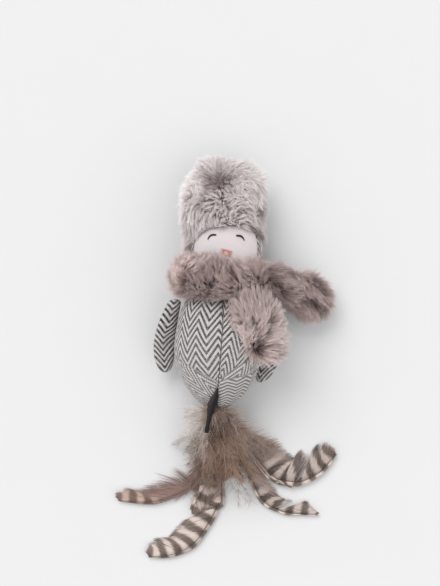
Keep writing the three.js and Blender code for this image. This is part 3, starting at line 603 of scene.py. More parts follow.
# Hair work: strands are joined by the thousand into one mesh
def strands(name, paths, radii, marks, wide=None, slim=1.0, facing=None):
    """Tapered three-sided hairs, each with a closed foot and a point.

    paths is (hairs, stations, 3) and radii (hairs, stations) in millimetres; marks are the
    attributes its finish reads, one value a station; wide is the way a flat barb lies, and
    slim its thickness as a share of its width. facing is the way the pelt faces at each hair:
    fine hair lets light through, so it is shaded mostly as the pelt is and not as a round rod."""
    count, stations, _ = paths.shape
    rings = stations - 1
    heading = unit(np.gradient(paths, axis=1))
    if wide is None:
        wide = np.broadcast_to(np.array([0.31, 0.87, 0.39]), paths.shape)
    side = unit(np.cross(heading, np.cross(wide, heading)))
    up = np.cross(side, heading)
    corners = []
    for k in range(3):
        turn = 2 * math.pi * k / 3 + math.pi / 6
        reach = math.cos(turn) * side + math.sin(turn) * slim * up
        corners.append(paths[:, :rings] + reach[:, :rings] * radii[:, :rings, None])
    body = np.stack(corners, axis=2).reshape(count, rings * 3, 3)
    points = np.concatenate([body, paths[:, -1:]], axis=1).reshape(-1, 3)
    each = rings * 3 + 1
    quads = []
    for ring in range(rings - 1):
        low = ring * 3
        quads += [(low + k, low + 3 + k, low + 3 + (k + 1) % 3, low + (k + 1) % 3) for k in range(3)]
    last = (rings - 1) * 3
    threes = [(0, 1, 2)] + [(last + k, each - 1, last + (k + 1) % 3) for k in range(3)]
    offsets = (np.arange(count) * each)[:, None, None]
    quad_loops = (np.array(quads, int).reshape(-1, 4)[None] + offsets).reshape(-1, 4)
    three_loops = (np.array(threes, int)[None] + offsets).reshape(-1, 3)
    mesh = bpy.data.meshes.new(name)
    mesh.vertices.add(len(points))
    mesh.vertices.foreach_set("co", (points * MM).ravel())
    loops = np.concatenate([quad_loops.ravel(), three_loops.ravel()])
    mesh.loops.add(len(loops))
    mesh.loops.foreach_set("vertex_index", loops)
    begins = np.concatenate(
        [np.arange(len(quad_loops)) * 4, len(quad_loops) * 4 + np.arange(len(three_loops)) * 3]
    )
    mesh.polygons.add(len(begins))
    mesh.polygons.foreach_set("loop_start", begins)
    mesh.update(calc_edges=True)
    mesh.validate()
    mesh.polygons.foreach_set("use_smooth", np.ones(len(begins), bool))
    for mark, values in marks.items():
        spread = np.broadcast_to(values, (count, stations))
        ringed = np.repeat(spread[:, :rings], 3, axis=1)
        put_mark(mesh, mark, np.concatenate([ringed, spread[:, -1:]], axis=1).ravel())
    if facing is not None:
        round_way = (points.reshape(count, each, 3)[:, :rings * 3].reshape(count, rings, 3, 3)
                     - paths[:, :rings, None]) / np.maximum(radii[:, :rings, None, None], 1e-6)
        shaded = unit(facing[:, None, None] + ROD_SHARE * round_way).reshape(count, rings * 3, 3)
        shaded = np.concatenate([shaded, facing[:, None]], axis=1).reshape(-1, 3)
        mesh.normals_split_custom_set_from_vertices(shaded)
    piece = bpy.data.objects.new(name, mesh)
    bpy.context.scene.collection.objects.link(piece)
    return piece


def scattered(piece, count, seed, wanted=None):
    """Evenly random places on a piece, with the way its surface faces there."""
    mesh = piece.data
    mesh.calc_loop_triangles()
    flat = np.empty(len(mesh.loop_triangles) * 3, int)
    mesh.loop_triangles.foreach_get("vertices", flat)
    corners = flat.reshape(-1, 3)
    points, normals = points_of(piece), normals_of(piece)
    a, b, c = (points[corners[:, k]] for k in range(3))
    area = np.linalg.norm(np.cross(b - a, c - a), axis=1)
    if wanted is not None:
        area = area * wanted((a + b + c) / 3, unit(normals[corners].sum(axis=1)))
    rng = np.random.default_rng(seed)
    chosen = rng.choice(len(corners), count, p=area / area.sum())
    u, v = rng.random(count), rng.random(count)
    over = u + v > 1
    u, v = np.where(over, 1 - u, u), np.where(over, 1 - v, v)
    share = np.stack([1 - u - v, u, v], axis=1)[:, :, None]
    places = (points[corners[chosen]] * share).sum(axis=1)
    facing = unit((normals[corners[chosen]] * share).sum(axis=1))
    return places, facing


def lay_of(points, facing, main, partings):
    """The way the fur lies: its main lay, turned away from each parting; and each place's shade."""
    lay = main(points, facing)
    shade = np.zeros(len(points))
    front = np.clip(facing[:, 2] * 1.6 + 0.25, 0, 1)
    for x0, y0, x1, y1, width, pull, depth in partings:
        first, run = np.array([x0, y0]), np.array([x1 - x0, y1 - y0])
        share = np.clip(((points[:, :2] - first) @ run) / max(run @ run, 1e-9), 0, 1)
        away = points[:, :2] - (first + share[:, None] * run)
        distance = np.linalg.norm(away, axis=1)
        near = bell(distance, width) * front
        lay[:, :2] += (pull * near)[:, None] * unit(away)
        shade += depth * front * bell(distance, 0.62 * width)
    lay -= dot(lay, facing) * facing
    return unit(lay), np.clip(shade, 0, 1)


def fur(name, places, facing, lay, shade, look, seed, clear):
    """Locks of hair that stand off the cloth, fall over along their lay and close to a point."""
    rng = np.random.default_rng(seed)
    count = len(places)
    locks = look["locks"]
    centres = rng.choice(count, locks, replace=False)
    tree = KDTree(locks)
    for index, centre in enumerate(centres):
        tree.insert(places[centre], index)
    tree.balance()
    hits = [tree.find(place) for place in places]
    nearest = np.array([hit[1] for hit in hits])
    apart = np.array([hit[2] for hit in hits])
    # gap: how far a hair lies out toward the gaps between locks, where its colour gets painted shade
    gap = np.clip(apart / np.percentile(apart, 92) - 0.4, 0, 0.6) / 0.6
    heart = centres[nearest]
    side_on = 1 - np.clip(facing[:, 2], 0, 1)
    length = look["length"] * rng.uniform(0.8, 1.2, locks)[nearest] * rng.uniform(0.85, 1.12, count)
    length *= (1 - 0.3 * shade) * (1 + look["side"] * side_on - look["front"] * (1 - side_on) ** 2)
    wander = drift(places, look["swirl"], seed + 1)
    wander -= dot(wander, facing) * facing
    jitter = rng.normal(size=(count, 3)) * look["jitter"]
    lean = look["lean"] * ((1 - 0.25 * side_on) * (1 + 0.2 * rng.normal(size=count)))[:, None]
    ways = lay + look["wander"] * wander
    first = unit(facing + HAIR_LEAN * lean * ways + jitter)
    second = unit(HAIR_RISE * facing + lean * ways + jitter)
    middle = places + first * (HAIR_BEND * length)[:, None]
    tip = middle + second * ((1 - HAIR_BEND) * length)[:, None]
    curl = rng.normal(size=(locks, 3))[nearest] * (look["curl"] * (1 - 0.4 * side_on))[:, None]
    grip = (look["grip"] * (1 - look["loose"] * side_on**2) * rng.uniform(0.78, 1.06, count))[:, None]
    tip = tip + (tip[heart] + curl - tip) * grip
    middle = middle + (middle[heart] + 0.4 * curl - middle) * grip * 0.45
    tip, middle = clear(tip), clear(middle)
    foot = places - HAIR_FOOT * facing
    radius = look["hair"] / 2 * rng.uniform(0.75, 1.25, count)
    lock_tone = rng.normal(size=locks)[nearest]
    patch = drift(places, look["patch"], seed + 2)[:, 0]
    tone = 0.5 + 0.15 * lock_tone + 0.09 * patch + 0.06 * rng.normal(size=count)
    # Tone is each lock's own lighter or darker colour, plus these places, some of which are painted light
    # and painted shade
    for x, y, width, amount in look["bright"]:
        tone += amount * np.exp(-(((places[:, 0] - x) ** 2 + (places[:, 1] - y) ** 2) / width**2))
    # Painted shade between locks: hairs in the gaps keep the root's dark colour further along their length
    depth = np.array([0.0, 0.5, 1.0]) - gap[:, None] * look["gap"] * np.array([0.0, 0.3, 0.42])
    marks = {
        "along": depth,
        "tone": np.clip(tone, 0, 1)[:, None],
        "shade": np.clip(shade + 0.1 * rng.normal(size=count), 0, 1)[:, None],
        # edge: how far the pelt turns side on; the finish paints light on these hairs, a painted rim light
        "edge": np.clip(side_on, 0, 1)[:, None],
    }
    radii = radius[:, None] * np.array(HAIR_TAPER)
    lit = unit(facing + np.array([0.0, 0.0, SKY_SHARE]))
    return strands(name, np.stack([foot, middle, tip], axis=1), radii, marks, facing=lit)


# Finishes: each is a node tree of its own, and its sums are written as plain expressions
def sign(operation, turned=False):
    """A sign of a sum as a Math node; a turned one has the wire on its right side."""
    def summed(wire, *others):
        values = (*others, wire) if turned else (wire, *others)
        return wire.finish.node("ShaderNodeMath", {"operation": operation}, *values)

    return summed


class Wire:
    """A value in a finish's node tree; the usual signs add the Math nodes."""

    def __init__(self, finish, socket):
        self.finish = finish
        self.socket = socket

    __add__ = sign("ADD")
    __radd__ = sign("ADD", True)
    __sub__ = sign("SUBTRACT")
    __rsub__ = sign("SUBTRACT", True)
    __mul__ = sign("MULTIPLY")
    __rmul__ = sign("MULTIPLY", True)
    __truediv__ = sign("DIVIDE")
    __mod__ = sign("FLOORED_MODULO")
    __abs__ = sign("ABSOLUTE")
    floor = sign("FLOOR")
    sine = sign("SINE")

    def between(self, low, high):
        """Rises smoothly from 0 to 1 as the value goes from low to high."""
        settings = {"interpolation_type": "SMOOTHSTEP"}
        return self.finish.node("ShaderNodeMapRange", settings, self, low, high)


class Finish:
    """A material in the making, with one Principled surface."""

    def __init__(self, name, roughness=0.9, **even):
        self.material = bpy.data.materials.new(name)
        self.material.use_nodes = True
        self.tree = self.material.node_tree
        self.tree.nodes.clear()
        self.output = self.tree.nodes.new("ShaderNodeOutputMaterial")
        self.surface = self.tree.nodes.new("ShaderNodeBsdfPrincipled")
        self.tree.links.new(self.surface.outputs["BSDF"], self.output.inputs["Surface"])
        self.surface.inputs["Roughness"].default_value = roughness
        for socket, value in even.items():
            label = socket.replace("_", " ").title().replace("Ior", "IOR")
            self.surface.inputs[label].default_value = value

    def node(self, kind, settings=None, *values, out=0, **named):
        """Adds a node, makes its settings, then fills or links its sockets."""
        node = self.tree.nodes.new(kind)
        for setting, value in (settings or {}).items():
            setattr(node, setting, value)
        pairs = list(enumerate(values)) + [(name.replace("_", " "), value) for name, value in named.items()]
        for socket, value in pairs:
            self.fill(node.inputs[socket], value)
        return Wire(self, node.outputs[out])

    def fill(self, socket, value):
        """Links a wire to a socket or sets its value; a word names one of the bird's colours."""
        if isinstance(value, str):
            value = tuple(getattr(bpy.context.scene.bird_colours, value))
        if isinstance(value, Wire):
            self.tree.links.new(value.socket, socket)
        elif isinstance(value, tuple) and len(value) == 3 and len(socket.default_value) == 4:
            socket.default_value = (*value, 1.0)
        else:
            socket.default_value = value

    def feed(self, socket, value):
        self.fill(self.surface.inputs[socket], value)

    def mark(self, name):
        """A value that the mesh carries."""
        return self.node("ShaderNodeAttribute", {"attribute_name": name}, out="Fac")

    def place(self):
        return self.node("ShaderNodeTexCoord", None, out="Object")

    def cloth(self, name):
        """The two ways across a cloth, in millimetres."""
        both = self.node("ShaderNodeUVMap", {"uv_map": name})
        across = self.node("ShaderNodeSeparateXYZ", None, both, out="X")
        down = self.node("ShaderNodeSeparateXYZ", None, both, out="Y")
        return across, down

    def mix(self, share, first, second, blend="MIX"):
        node = self.tree.nodes.new("ShaderNodeMix")
        node.data_type = "RGBA"
        node.blend_type = blend
        self.fill(node.inputs["Factor"], share)
        self.fill(node.inputs[6], first)
        self.fill(node.inputs[7], second)
        return Wire(self, node.outputs[2])

    def levelled(self, colour, level):
        """A colour made lighter or darker by a level."""
        grey = self.node("ShaderNodeCombineColor", None, level, level, level)
        return self.mix(1.0, colour, grey, "MULTIPLY")

    def noise(self, size, detail=3.0, roughness=0.55, stretch=None):
        """Cloudy noise that changes over about that size in millimetres."""
        where = self.place()
        if stretch:
            where = self.node("ShaderNodeMapping", None, where, Scale=stretch)
        return self.node(
            "ShaderNodeTexNoise", None, where, Scale=1 / (size * MM), Detail=detail, Roughness=roughness
        )

    def bump(self, height, depth, strength=1.0):
        """Raises the surface by a height of 0 to 1 times the depth in millimetres."""
        bumped = self.node("ShaderNodeBump", None, Strength=strength, Distance=depth * MM, Height=height)
        self.fill(self.surface.inputs["Normal"], bumped)


def dress(piece, finish):
    piece.data.materials.clear()
    piece.data.materials.append(finish.material)


def fitted(piece, finish, slot, body, *replaced, soft=None):
    """Dresses a piece, rides it on its body, and hides the nodes it replaces; its softness is not used."""
    dress(piece, finish)
    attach(piece, body)
    if replaced:
        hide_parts(*replaced)


# The tweed's yarn, its columns, stripes and slopes
YARN = 0.56
COLUMN = 6.5
STRIPE = 4.5
SLOPE = 1.66
LIGHT_SHARE = 0.56
WING_COLUMN = 9.0
WING_STRIPE = 3.5
WING_SLOPE = 1.05
HOOD_COLUMN = 4.0


def stripe_height(across, along, column, stripe, slope):
    """How high the twill stands, from 0 in its dark valleys to 1 on its pale ribs."""
    off = column - np.abs((across % (2 * column)) - column)
    phase = ((along + slope * off) / stripe) % 1.0
    rib = 1 - np.abs(phase - LIGHT_SHARE / 2) / (LIGHT_SHARE / 2)
    wrapped = np.where(phase > LIGHT_SHARE, -1, rib)
    return np.clip(wrapped * 1.6 + 0.3, 0, 1)


def tweed_finish(name, column, stripe):
    """Herringbone tweed: pale warp floats step over a charcoal weft, column against column."""
    finish = Finish(name, roughness=0.92, sheen_weight=0.18, sheen_roughness=0.5)
    across, along = finish.cloth("cloth")
    warp = across / YARN
    stepped = warp.floor() * YARN + YARN / 2
    off = column - abs((stepped % (2 * column)) - column)
    gathered = finish.mark("gathered")
    phase = ((along + finish.mark("slope") * off) / stripe) % 1.0
    rises = phase.between(0.0, 0.05)
    falls = phase.between(LIGHT_SHARE - 0.05, LIGHT_SHARE + 0.01)
    light = rises * (1 - falls)
    warp_round = ((warp % 1.0) * math.pi).sine()
    weft = along / YARN
    weft_round = ((weft % 1.0) * math.pi).sine()
    crossing = finish.node("ShaderNodeCombineXYZ", None, warp.floor(), weft.floor())
    yarn = finish.node("ShaderNodeTexWhiteNoise", {"noise_dimensions": "2D"}, crossing)
    fleck = finish.noise(1.6, 4.0, 0.7)
    wide = finish.noise(14.0, 2.0)
    deepness = finish.mark("deep")
    dark = finish.mix(deepness, "tweed_dark_low", "tweed_dark")
    dark = finish.mix((yarn * 0.35 + fleck).between(0.6, 0.95), dark, "tweed_mid")
    dark = finish.mix(gathered * 0.4, dark, "tweed_mid")
    pale = finish.mix(yarn * 0.8 + fleck * 0.2, "tweed_pale", "tweed_pale_warm")
    cloth = finish.mix(light, dark, pale)
    # Painted shade: each yarn is darker at its sides, where it rounds into the grooves between yarns
    hollow = 0.84 + 0.16 * (light * warp_round + (1 - light) * weft_round)
    cloud = 0.95 + 0.12 * wide
    finish.feed("Base Color", finish.levelled(cloth, hollow * cloud))
    finish.feed("Roughness", 0.88 + 0.1 * fleck)
    relief = light * (0.55 + 0.35 * warp_round) + (1 - light) * 0.3 * weft_round + 0.12 * fleck
    finish.bump(relief, 0.35, 0.8)
    return finish


def fleece_finish():
    finish = Finish("face_fleece", roughness=0.95, sheen_weight=0.35, sheen_roughness=0.45)
    nap = finish.noise(0.7, 5.0, 0.65)
    broad = finish.noise(9.0, 2.0)
    base = finish.mix(broad.between(0.35, 0.7), "face", "face_cool")
    # Painted shade between the fleece's hairs: the fine nap darkens the colour in small patches
    finish.feed("Base Color", finish.mix(nap.between(0.3, 0.8) * 0.35, base, "face_nap_shade"))
    finish.feed("Roughness", 0.9 + 0.08 * nap)
    finish.bump(nap + 0.6 * finish.noise(0.25, 3.0), 0.22, 0.7)
    return finish


def thread_finish(name, colour, deep):
    """Glossy sewing thread with its twist, which the piece's own marks run along."""
    finish = Finish(name, roughness=0.5, sheen_weight=0.1)
    along = finish.mark("along")
    twist = ((along * 30.0).sine() + 1) / 2
    fibre = finish.noise(0.5, 3.0)
    # Painted shade in the twist's grooves: the colour darkens along each turn of the twist; the fibre noise
    # is the thread's own
    finish.feed("Base Color", finish.mix(twist * 0.5 + fibre * 0.4, colour, deep))
    finish.feed("Roughness", 0.42 + 0.25 * fibre)
    finish.bump(twist, 0.08, 0.5)
    return finish


def fur_finish(name, root, middle, tip):
    """Fur hairs: dark at the root, coloured along, frosted at the point, shaded in partings; painted light
    lightens hairs at the pelt's edges.
    """
    finish = Finish(name, roughness=0.78, sheen_weight=0.1, sheen_roughness=0.4)
    along, tone = finish.mark("along"), finish.mark("tone")
    shade, edge = finish.mark("shade"), finish.mark("edge")
    # Painted light: hairs at the pelt's edge are made lighter, both low on the hair and at its point
    lower = finish.mix(along.between(0.05, 0.5) + 0.35 * edge + 0.7 * tone.between(0.7, 1.0), root, middle)
    frost = along.between(0.45, 1.0) * (0.3 + 1.0 * tone) + 0.55 * edge * along
    upper = finish.mix(frost.between(0.0, 1.0), lower, tip)
    dim = finish.mix(shade * (1.0 - 0.15 * along), upper, root)
    finish.feed("Base Color", finish.levelled(dim, 0.8 + 0.46 * tone))
    finish.feed("Roughness", 0.7 + 0.2 * tone)
    return finish


def backing_finish(name, colour, deep):
    """The knitted cloth that carries a fur: rows of small loops."""
    finish = Finish(name, roughness=0.95)
    place = finish.place()
    across = finish.node("ShaderNodeSeparateXYZ", None, place, out="X") / MM
    down = finish.node("ShaderNodeSeparateXYZ", None, place, out="Y") / MM
    loops = ((across * 4.2).sine() * ((down * 5.0).sine()) + 1) / 2
    cloud = finish.noise(5.0)
    # Painted shade between the knit's loops: the colour darkens where the loops dip
    finish.feed("Base Color", finish.mix(loops * 0.5 + cloud * 0.4, colour, deep))
    finish.bump(loops, 0.25, 0.7)
    return finish


def feather_finish():
    """Barred vane: soft dark bars cross the barbs, and the downy base has none."""
    finish = Finish("feather_vane", roughness=0.66, sheen_weight=0.03)
    run, strength = finish.mark("run"), finish.mark("bars")
    tone, along, warm = finish.mark("tone"), finish.mark("along"), finish.mark("warm")
    wave = ((run * (2 * math.pi / BAR_PERIOD)).sine() + 1) / 2
    bars = wave.between(0.1, 0.78) * strength
    pale = finish.mix(warm, "feather_pale", "feather_warm")
    plume = finish.mix(warm, "feather_plume", "feather_warm_plume")
    ground = finish.mix(strength, plume, pale)
    bar = finish.mix(warm, "feather_bar", "feather_warm_bar")
    coloured = finish.mix(bars * (0.88 + 0.2 * tone), ground, bar)
    finish.feed("Base Color", finish.levelled(coloured, 0.82 + 0.3 * tone + 0.08 * along))
    finish.feed("Roughness", 0.6 + 0.2 * tone)
    return finish


def quill_finish():
    finish = Finish("feather_quill", roughness=0.4, coat_weight=0.15)
    along = finish.mark("along")
    streak = finish.noise(1.2, 3.0, 0.6)
    base = finish.mix(along.between(0.1, 0.8), "quill_root", "quill_tip")
    finish.feed("Base Color", finish.mix(streak * 0.35, base, "feather_bar"))
    finish.feed("Roughness", 0.32 + 0.25 * streak)
    return finish


def down_finish(name):
    finish = Finish(name, roughness=0.85, sheen_weight=0.1)
    along, tone, shade, pale = (finish.mark(mark) for mark in ("along", "tone", "shade", "pale"))
    brown = finish.mix(tone.between(0.15, 0.85), "down_deep", "down")
    brown = finish.mix(along.between(0.35, 1.0) * 0.5, brown, "down_tip")
    # Painted shade and real stems: the shade mark darkens the down toward its darkest brown
    brown = finish.mix(shade, brown, "down_stems_and_shade")
    finish.feed("Base Color", finish.mix(pale, brown, "down_pale"))
    finish.feed("Roughness", 0.78 + 0.15 * tone)
    return finish


def suede_finish():
    finish = Finish("tab_suede", roughness=0.85, sheen_weight=0.4, sheen_roughness=0.35)
    fold = finish.mark("fold")
    nap = finish.noise(0.55, 5.0, 0.7, stretch=(1.0, 0.35, 1.0))
    worn = finish.noise(4.0)
    # Painted light and shade: the fold's lit side takes the suede colour, its shaded side the dark one
    base = finish.mix(fold, "suede_dark", "suede")
    rubbed = finish.mix(nap.between(0.55, 0.8) * 0.6, base, "suede_worn")
    finish.feed("Base Color", rubbed)
    finish.feed("Roughness", 0.75 + 0.2 * worn)
    finish.bump(nap, 0.2, 0.8)
    return finish


def plain_finish(name, first, second, size, depth, roughness):
    """A finish for what lies inside: two near colours in cloudy grain with its relief."""
    finish = Finish(name, roughness=roughness)
    grain = finish.noise(size, 5.0, 0.65)
    cloud = finish.noise(size * 6, 2.0)
    finish.feed("Base Color", finish.mix(grain * 0.6 + cloud * 0.4, first, second))
    finish.feed("Roughness", roughness - 0.08 + 0.16 * grain)
    finish.bump(grain, depth, 0.7)
    return finish


def floor_finish():
    finish = Finish("studio_floor", roughness=0.95, specular_ior_level=0.1)
    grain = finish.noise(30.0, 3.0)
    finish.feed("Base Color", finish.mix(grain, "floor", "floor_shade"))
    return finish


def metres(name, description, default, low, high):
    """A setting that is a length in metres."""
    return bpy.props.FloatProperty(
        name=name, description=description, default=default, min=low, max=high, unit="LENGTH"
    )


class BirdSizes(bpy.types.PropertyGroup):
    hat_pile: metres("Hat pile", "How far the hat's fur stands off its cloth", 0.0054, 0.001, 0.012)
    hat_hair: metres("Hat hair", "Length of the hat's hairs", 0.009, 0.002, 0.02)
    scarf_pile: metres("Scarf pile", "How far the scarf's fur stands off its cloth", 0.0064, 0.001, 0.012)
    scarf_hair: metres("Scarf hair", "Length of the scarf's hairs", 0.0092, 0.002, 0.02)
    hair_width: metres("Hair width", "Width of one modelled hair", 0.00025, 0.00005, 0.001)
    stripe_relief: metres("Twill relief", "How far the tweed's ribs stand up", 0.00016, 0.0, 0.001)
    barb_width: metres("Barb width", "Width of a feather's barb", 0.00038, 0.0001, 0.001)


def colour(name, description, red, green, blue):
    """A colour setting, whose default is given as a screen colour."""
    return bpy.props.FloatVectorProperty(
        name=name, description=description, subtype="COLOR", size=3, min=0.0, max=1.0,
        default=tint(red, green, blue),
    )


class BirdColours(bpy.types.PropertyGroup):
    tweed_pale: colour("Tweed warp", "Pale yarn of the tweed", 230, 227, 226)
    tweed_pale_warm: colour("Tweed warp, warm", "Warmer pale yarn of the tweed", 200, 194, 191)
    tweed_dark: colour("Tweed weft", "Charcoal yarn near the scarf", 54, 52, 55)
    tweed_dark_low: colour("Tweed weft, low", "Charcoal yarn low on the body", 104, 100, 99)
    tweed_mid: colour("Tweed fleck", "Grey flecks in the charcoal yarn", 150, 146, 145)
    face: colour("Face", "White fleece of the face", 232, 221, 221)
    face_cool: colour("Face, cool", "Cooler fleece of the face", 226, 219, 222)
    # Painted shade: the darker colour between the fleece's hairs
    face_nap_shade: colour("Face, between", "Between the hairs of the fleece", 206, 192, 192)
    eye_thread: colour("Eye thread", "Thread of the closed eyes", 44, 41, 45)
    beak_thread: colour("Beak outline", "Coral thread round the beak", 240, 172, 158)
    beak_fill: colour("Beak filling", "Peach thread inside the beak", 240, 204, 191)
    hat_root: colour("Hat fur, root", "Root of the hat's hairs", 142, 126, 125)
    hat_middle: colour("Hat fur", "Length of the hat's hairs", 238, 226, 225)
    hat_tip: colour("Hat fur, point", "Frosted point of the hat's hairs", 255, 251, 250)
    scarf_root: colour("Scarf fur, root", "Root of the scarf's hairs", 89, 71, 69)
    scarf_middle: colour("Scarf fur", "Length of the scarf's hairs", 190, 165, 161)
    scarf_tip: colour("Scarf fur, point", "Point of the scarf's hairs", 240, 221, 217)
    flap_middle: colour("Front end fur", "Length of the front end's hairs", 226, 203, 199)
    flap_tip: colour("Front end fur, point", "Point of the front end's hairs", 252, 238, 235)
    feather_pale: colour("Feather ground", "Pale ground of the barred vanes", 238, 224, 216)
    feather_bar: colour("Feather bar", "Dark bars of the vanes", 52, 29, 17)
    feather_plume: colour("Feather base", "Downy base of the vanes", 210, 184, 173)
    feather_warm: colour("Warm feather ground", "Ground of the warmest vane", 208, 184, 171)
    feather_warm_bar: colour("Warm feather bar", "Bars of the warmest vane", 100, 72, 58)
    feather_warm_plume: colour("Warm feather base", "Base of the warmest vane", 166, 138, 129)
    quill_root: colour("Quill", "Root end of the quills", 118, 92, 76)
    quill_tip: colour("Quill point", "Far end of the quills", 124, 102, 90)
    down: colour("Down", "Tan of the down", 190, 155, 135)
    down_deep: colour("Down, between", "Deeper tan of the down", 156, 123, 104)
    down_tip: colour("Down, points", "Points of the down's barbs", 214, 188, 172)
    # Painted shade and real stems: this brown is the down's dark stems and also the painted shade in its
    # depths and between its clumps
    down_stems_and_shade: colour("Down, shaded", "Dark stems in the down", 102, 75, 60)
    down_pale: colour("Down, pale", "Whitish wisps of the down", 240, 230, 224)
    suede: colour("Suede", "Lit side of the strip", 58, 47, 51)
    suede_dark: colour("Suede, dark", "Dark side of the strip", 12, 8, 9)
    suede_worn: colour("Suede, worn", "Rubbed nap of the strip", 76, 64, 64)
    binding: colour("Binding thread", "Thread that whips the quills", 96, 76, 66)
    wadding: colour("Wadding", "Polyester filling", 240, 240, 236)
    cotton: colour("Catnip pouch", "Cotton of the catnip pouch", 217, 205, 180)
    film: colour("Crinkle film", "Pale plastic film", 214, 218, 221)
    case: colour("Rattle case", "Off-white plastic of the rattle", 230, 228, 220)
    pellet: colour("Rattle pellet", "Red beads in the rattle", 194, 74, 53)
    floor: colour("Floor", "Pale studio floor", 239, 239, 239)
    floor_shade: colour("Floor, clouds", "Faint clouds on the floor", 237, 237, 238)


class BirdStage(bpy.types.PropertyGroup):
    camera_height: metres("Camera height", "Height of the camera over the floor", 0.811, 0.1, 5.0)
    camera_x: metres("Camera across", "Place of the camera across the bird", -0.00056, -1.0, 1.0)
    camera_y: metres("Camera along", "Place of the camera along the bird", 0.0325, -1.0, 1.0)
    camera_roll: bpy.props.FloatProperty(
        name="Camera roll", description="How far the picture is turned",
        default=math.radians(2.0), unit="ROTATION",
    )
    lens: bpy.props.FloatProperty(
        name="Lens", description="Focal length", default=85.0, min=10.0, max=300.0, unit="CAMERA",
    )
    sky: bpy.props.FloatProperty(
        name="Ambient light", description="Strength of the even light from all round", default=0.64, min=0.0
    )
    key: bpy.props.FloatProperty(
        name="Key light", description="Strength of the soft light from above and left", default=1.3, min=0.0
    )


# The making of each part
def cloth_coordinates(piece, across, along, deep, gathered, slope):
    """Gives every corner its place on the flat cloth, in millimetres, and its marks."""
    layer = piece.data.uv_layers.new(name="cloth")
    corner = np.empty(len(piece.data.loops), int)
    piece.data.loops.foreach_get("vertex_index", corner)
    layer.data.foreach_set("uv", np.stack([across[corner], along[corner]], axis=1).ravel())
    for mark, values in (("deep", deep), ("gathered", gathered), ("slope", slope)):
        put_mark(piece.data, mark, values)


def laid(flat, centre, turn, crowd):
    """Places on cloth that is turned by degrees about a centre, and crowded along its length."""
    over, down = flat[0] - centre[0], flat[1] - centre[1]
    c, s = math.cos(math.radians(turn)), math.sin(math.radians(turn))
    return over * c + down * s, (down * c - over * s) * crowd


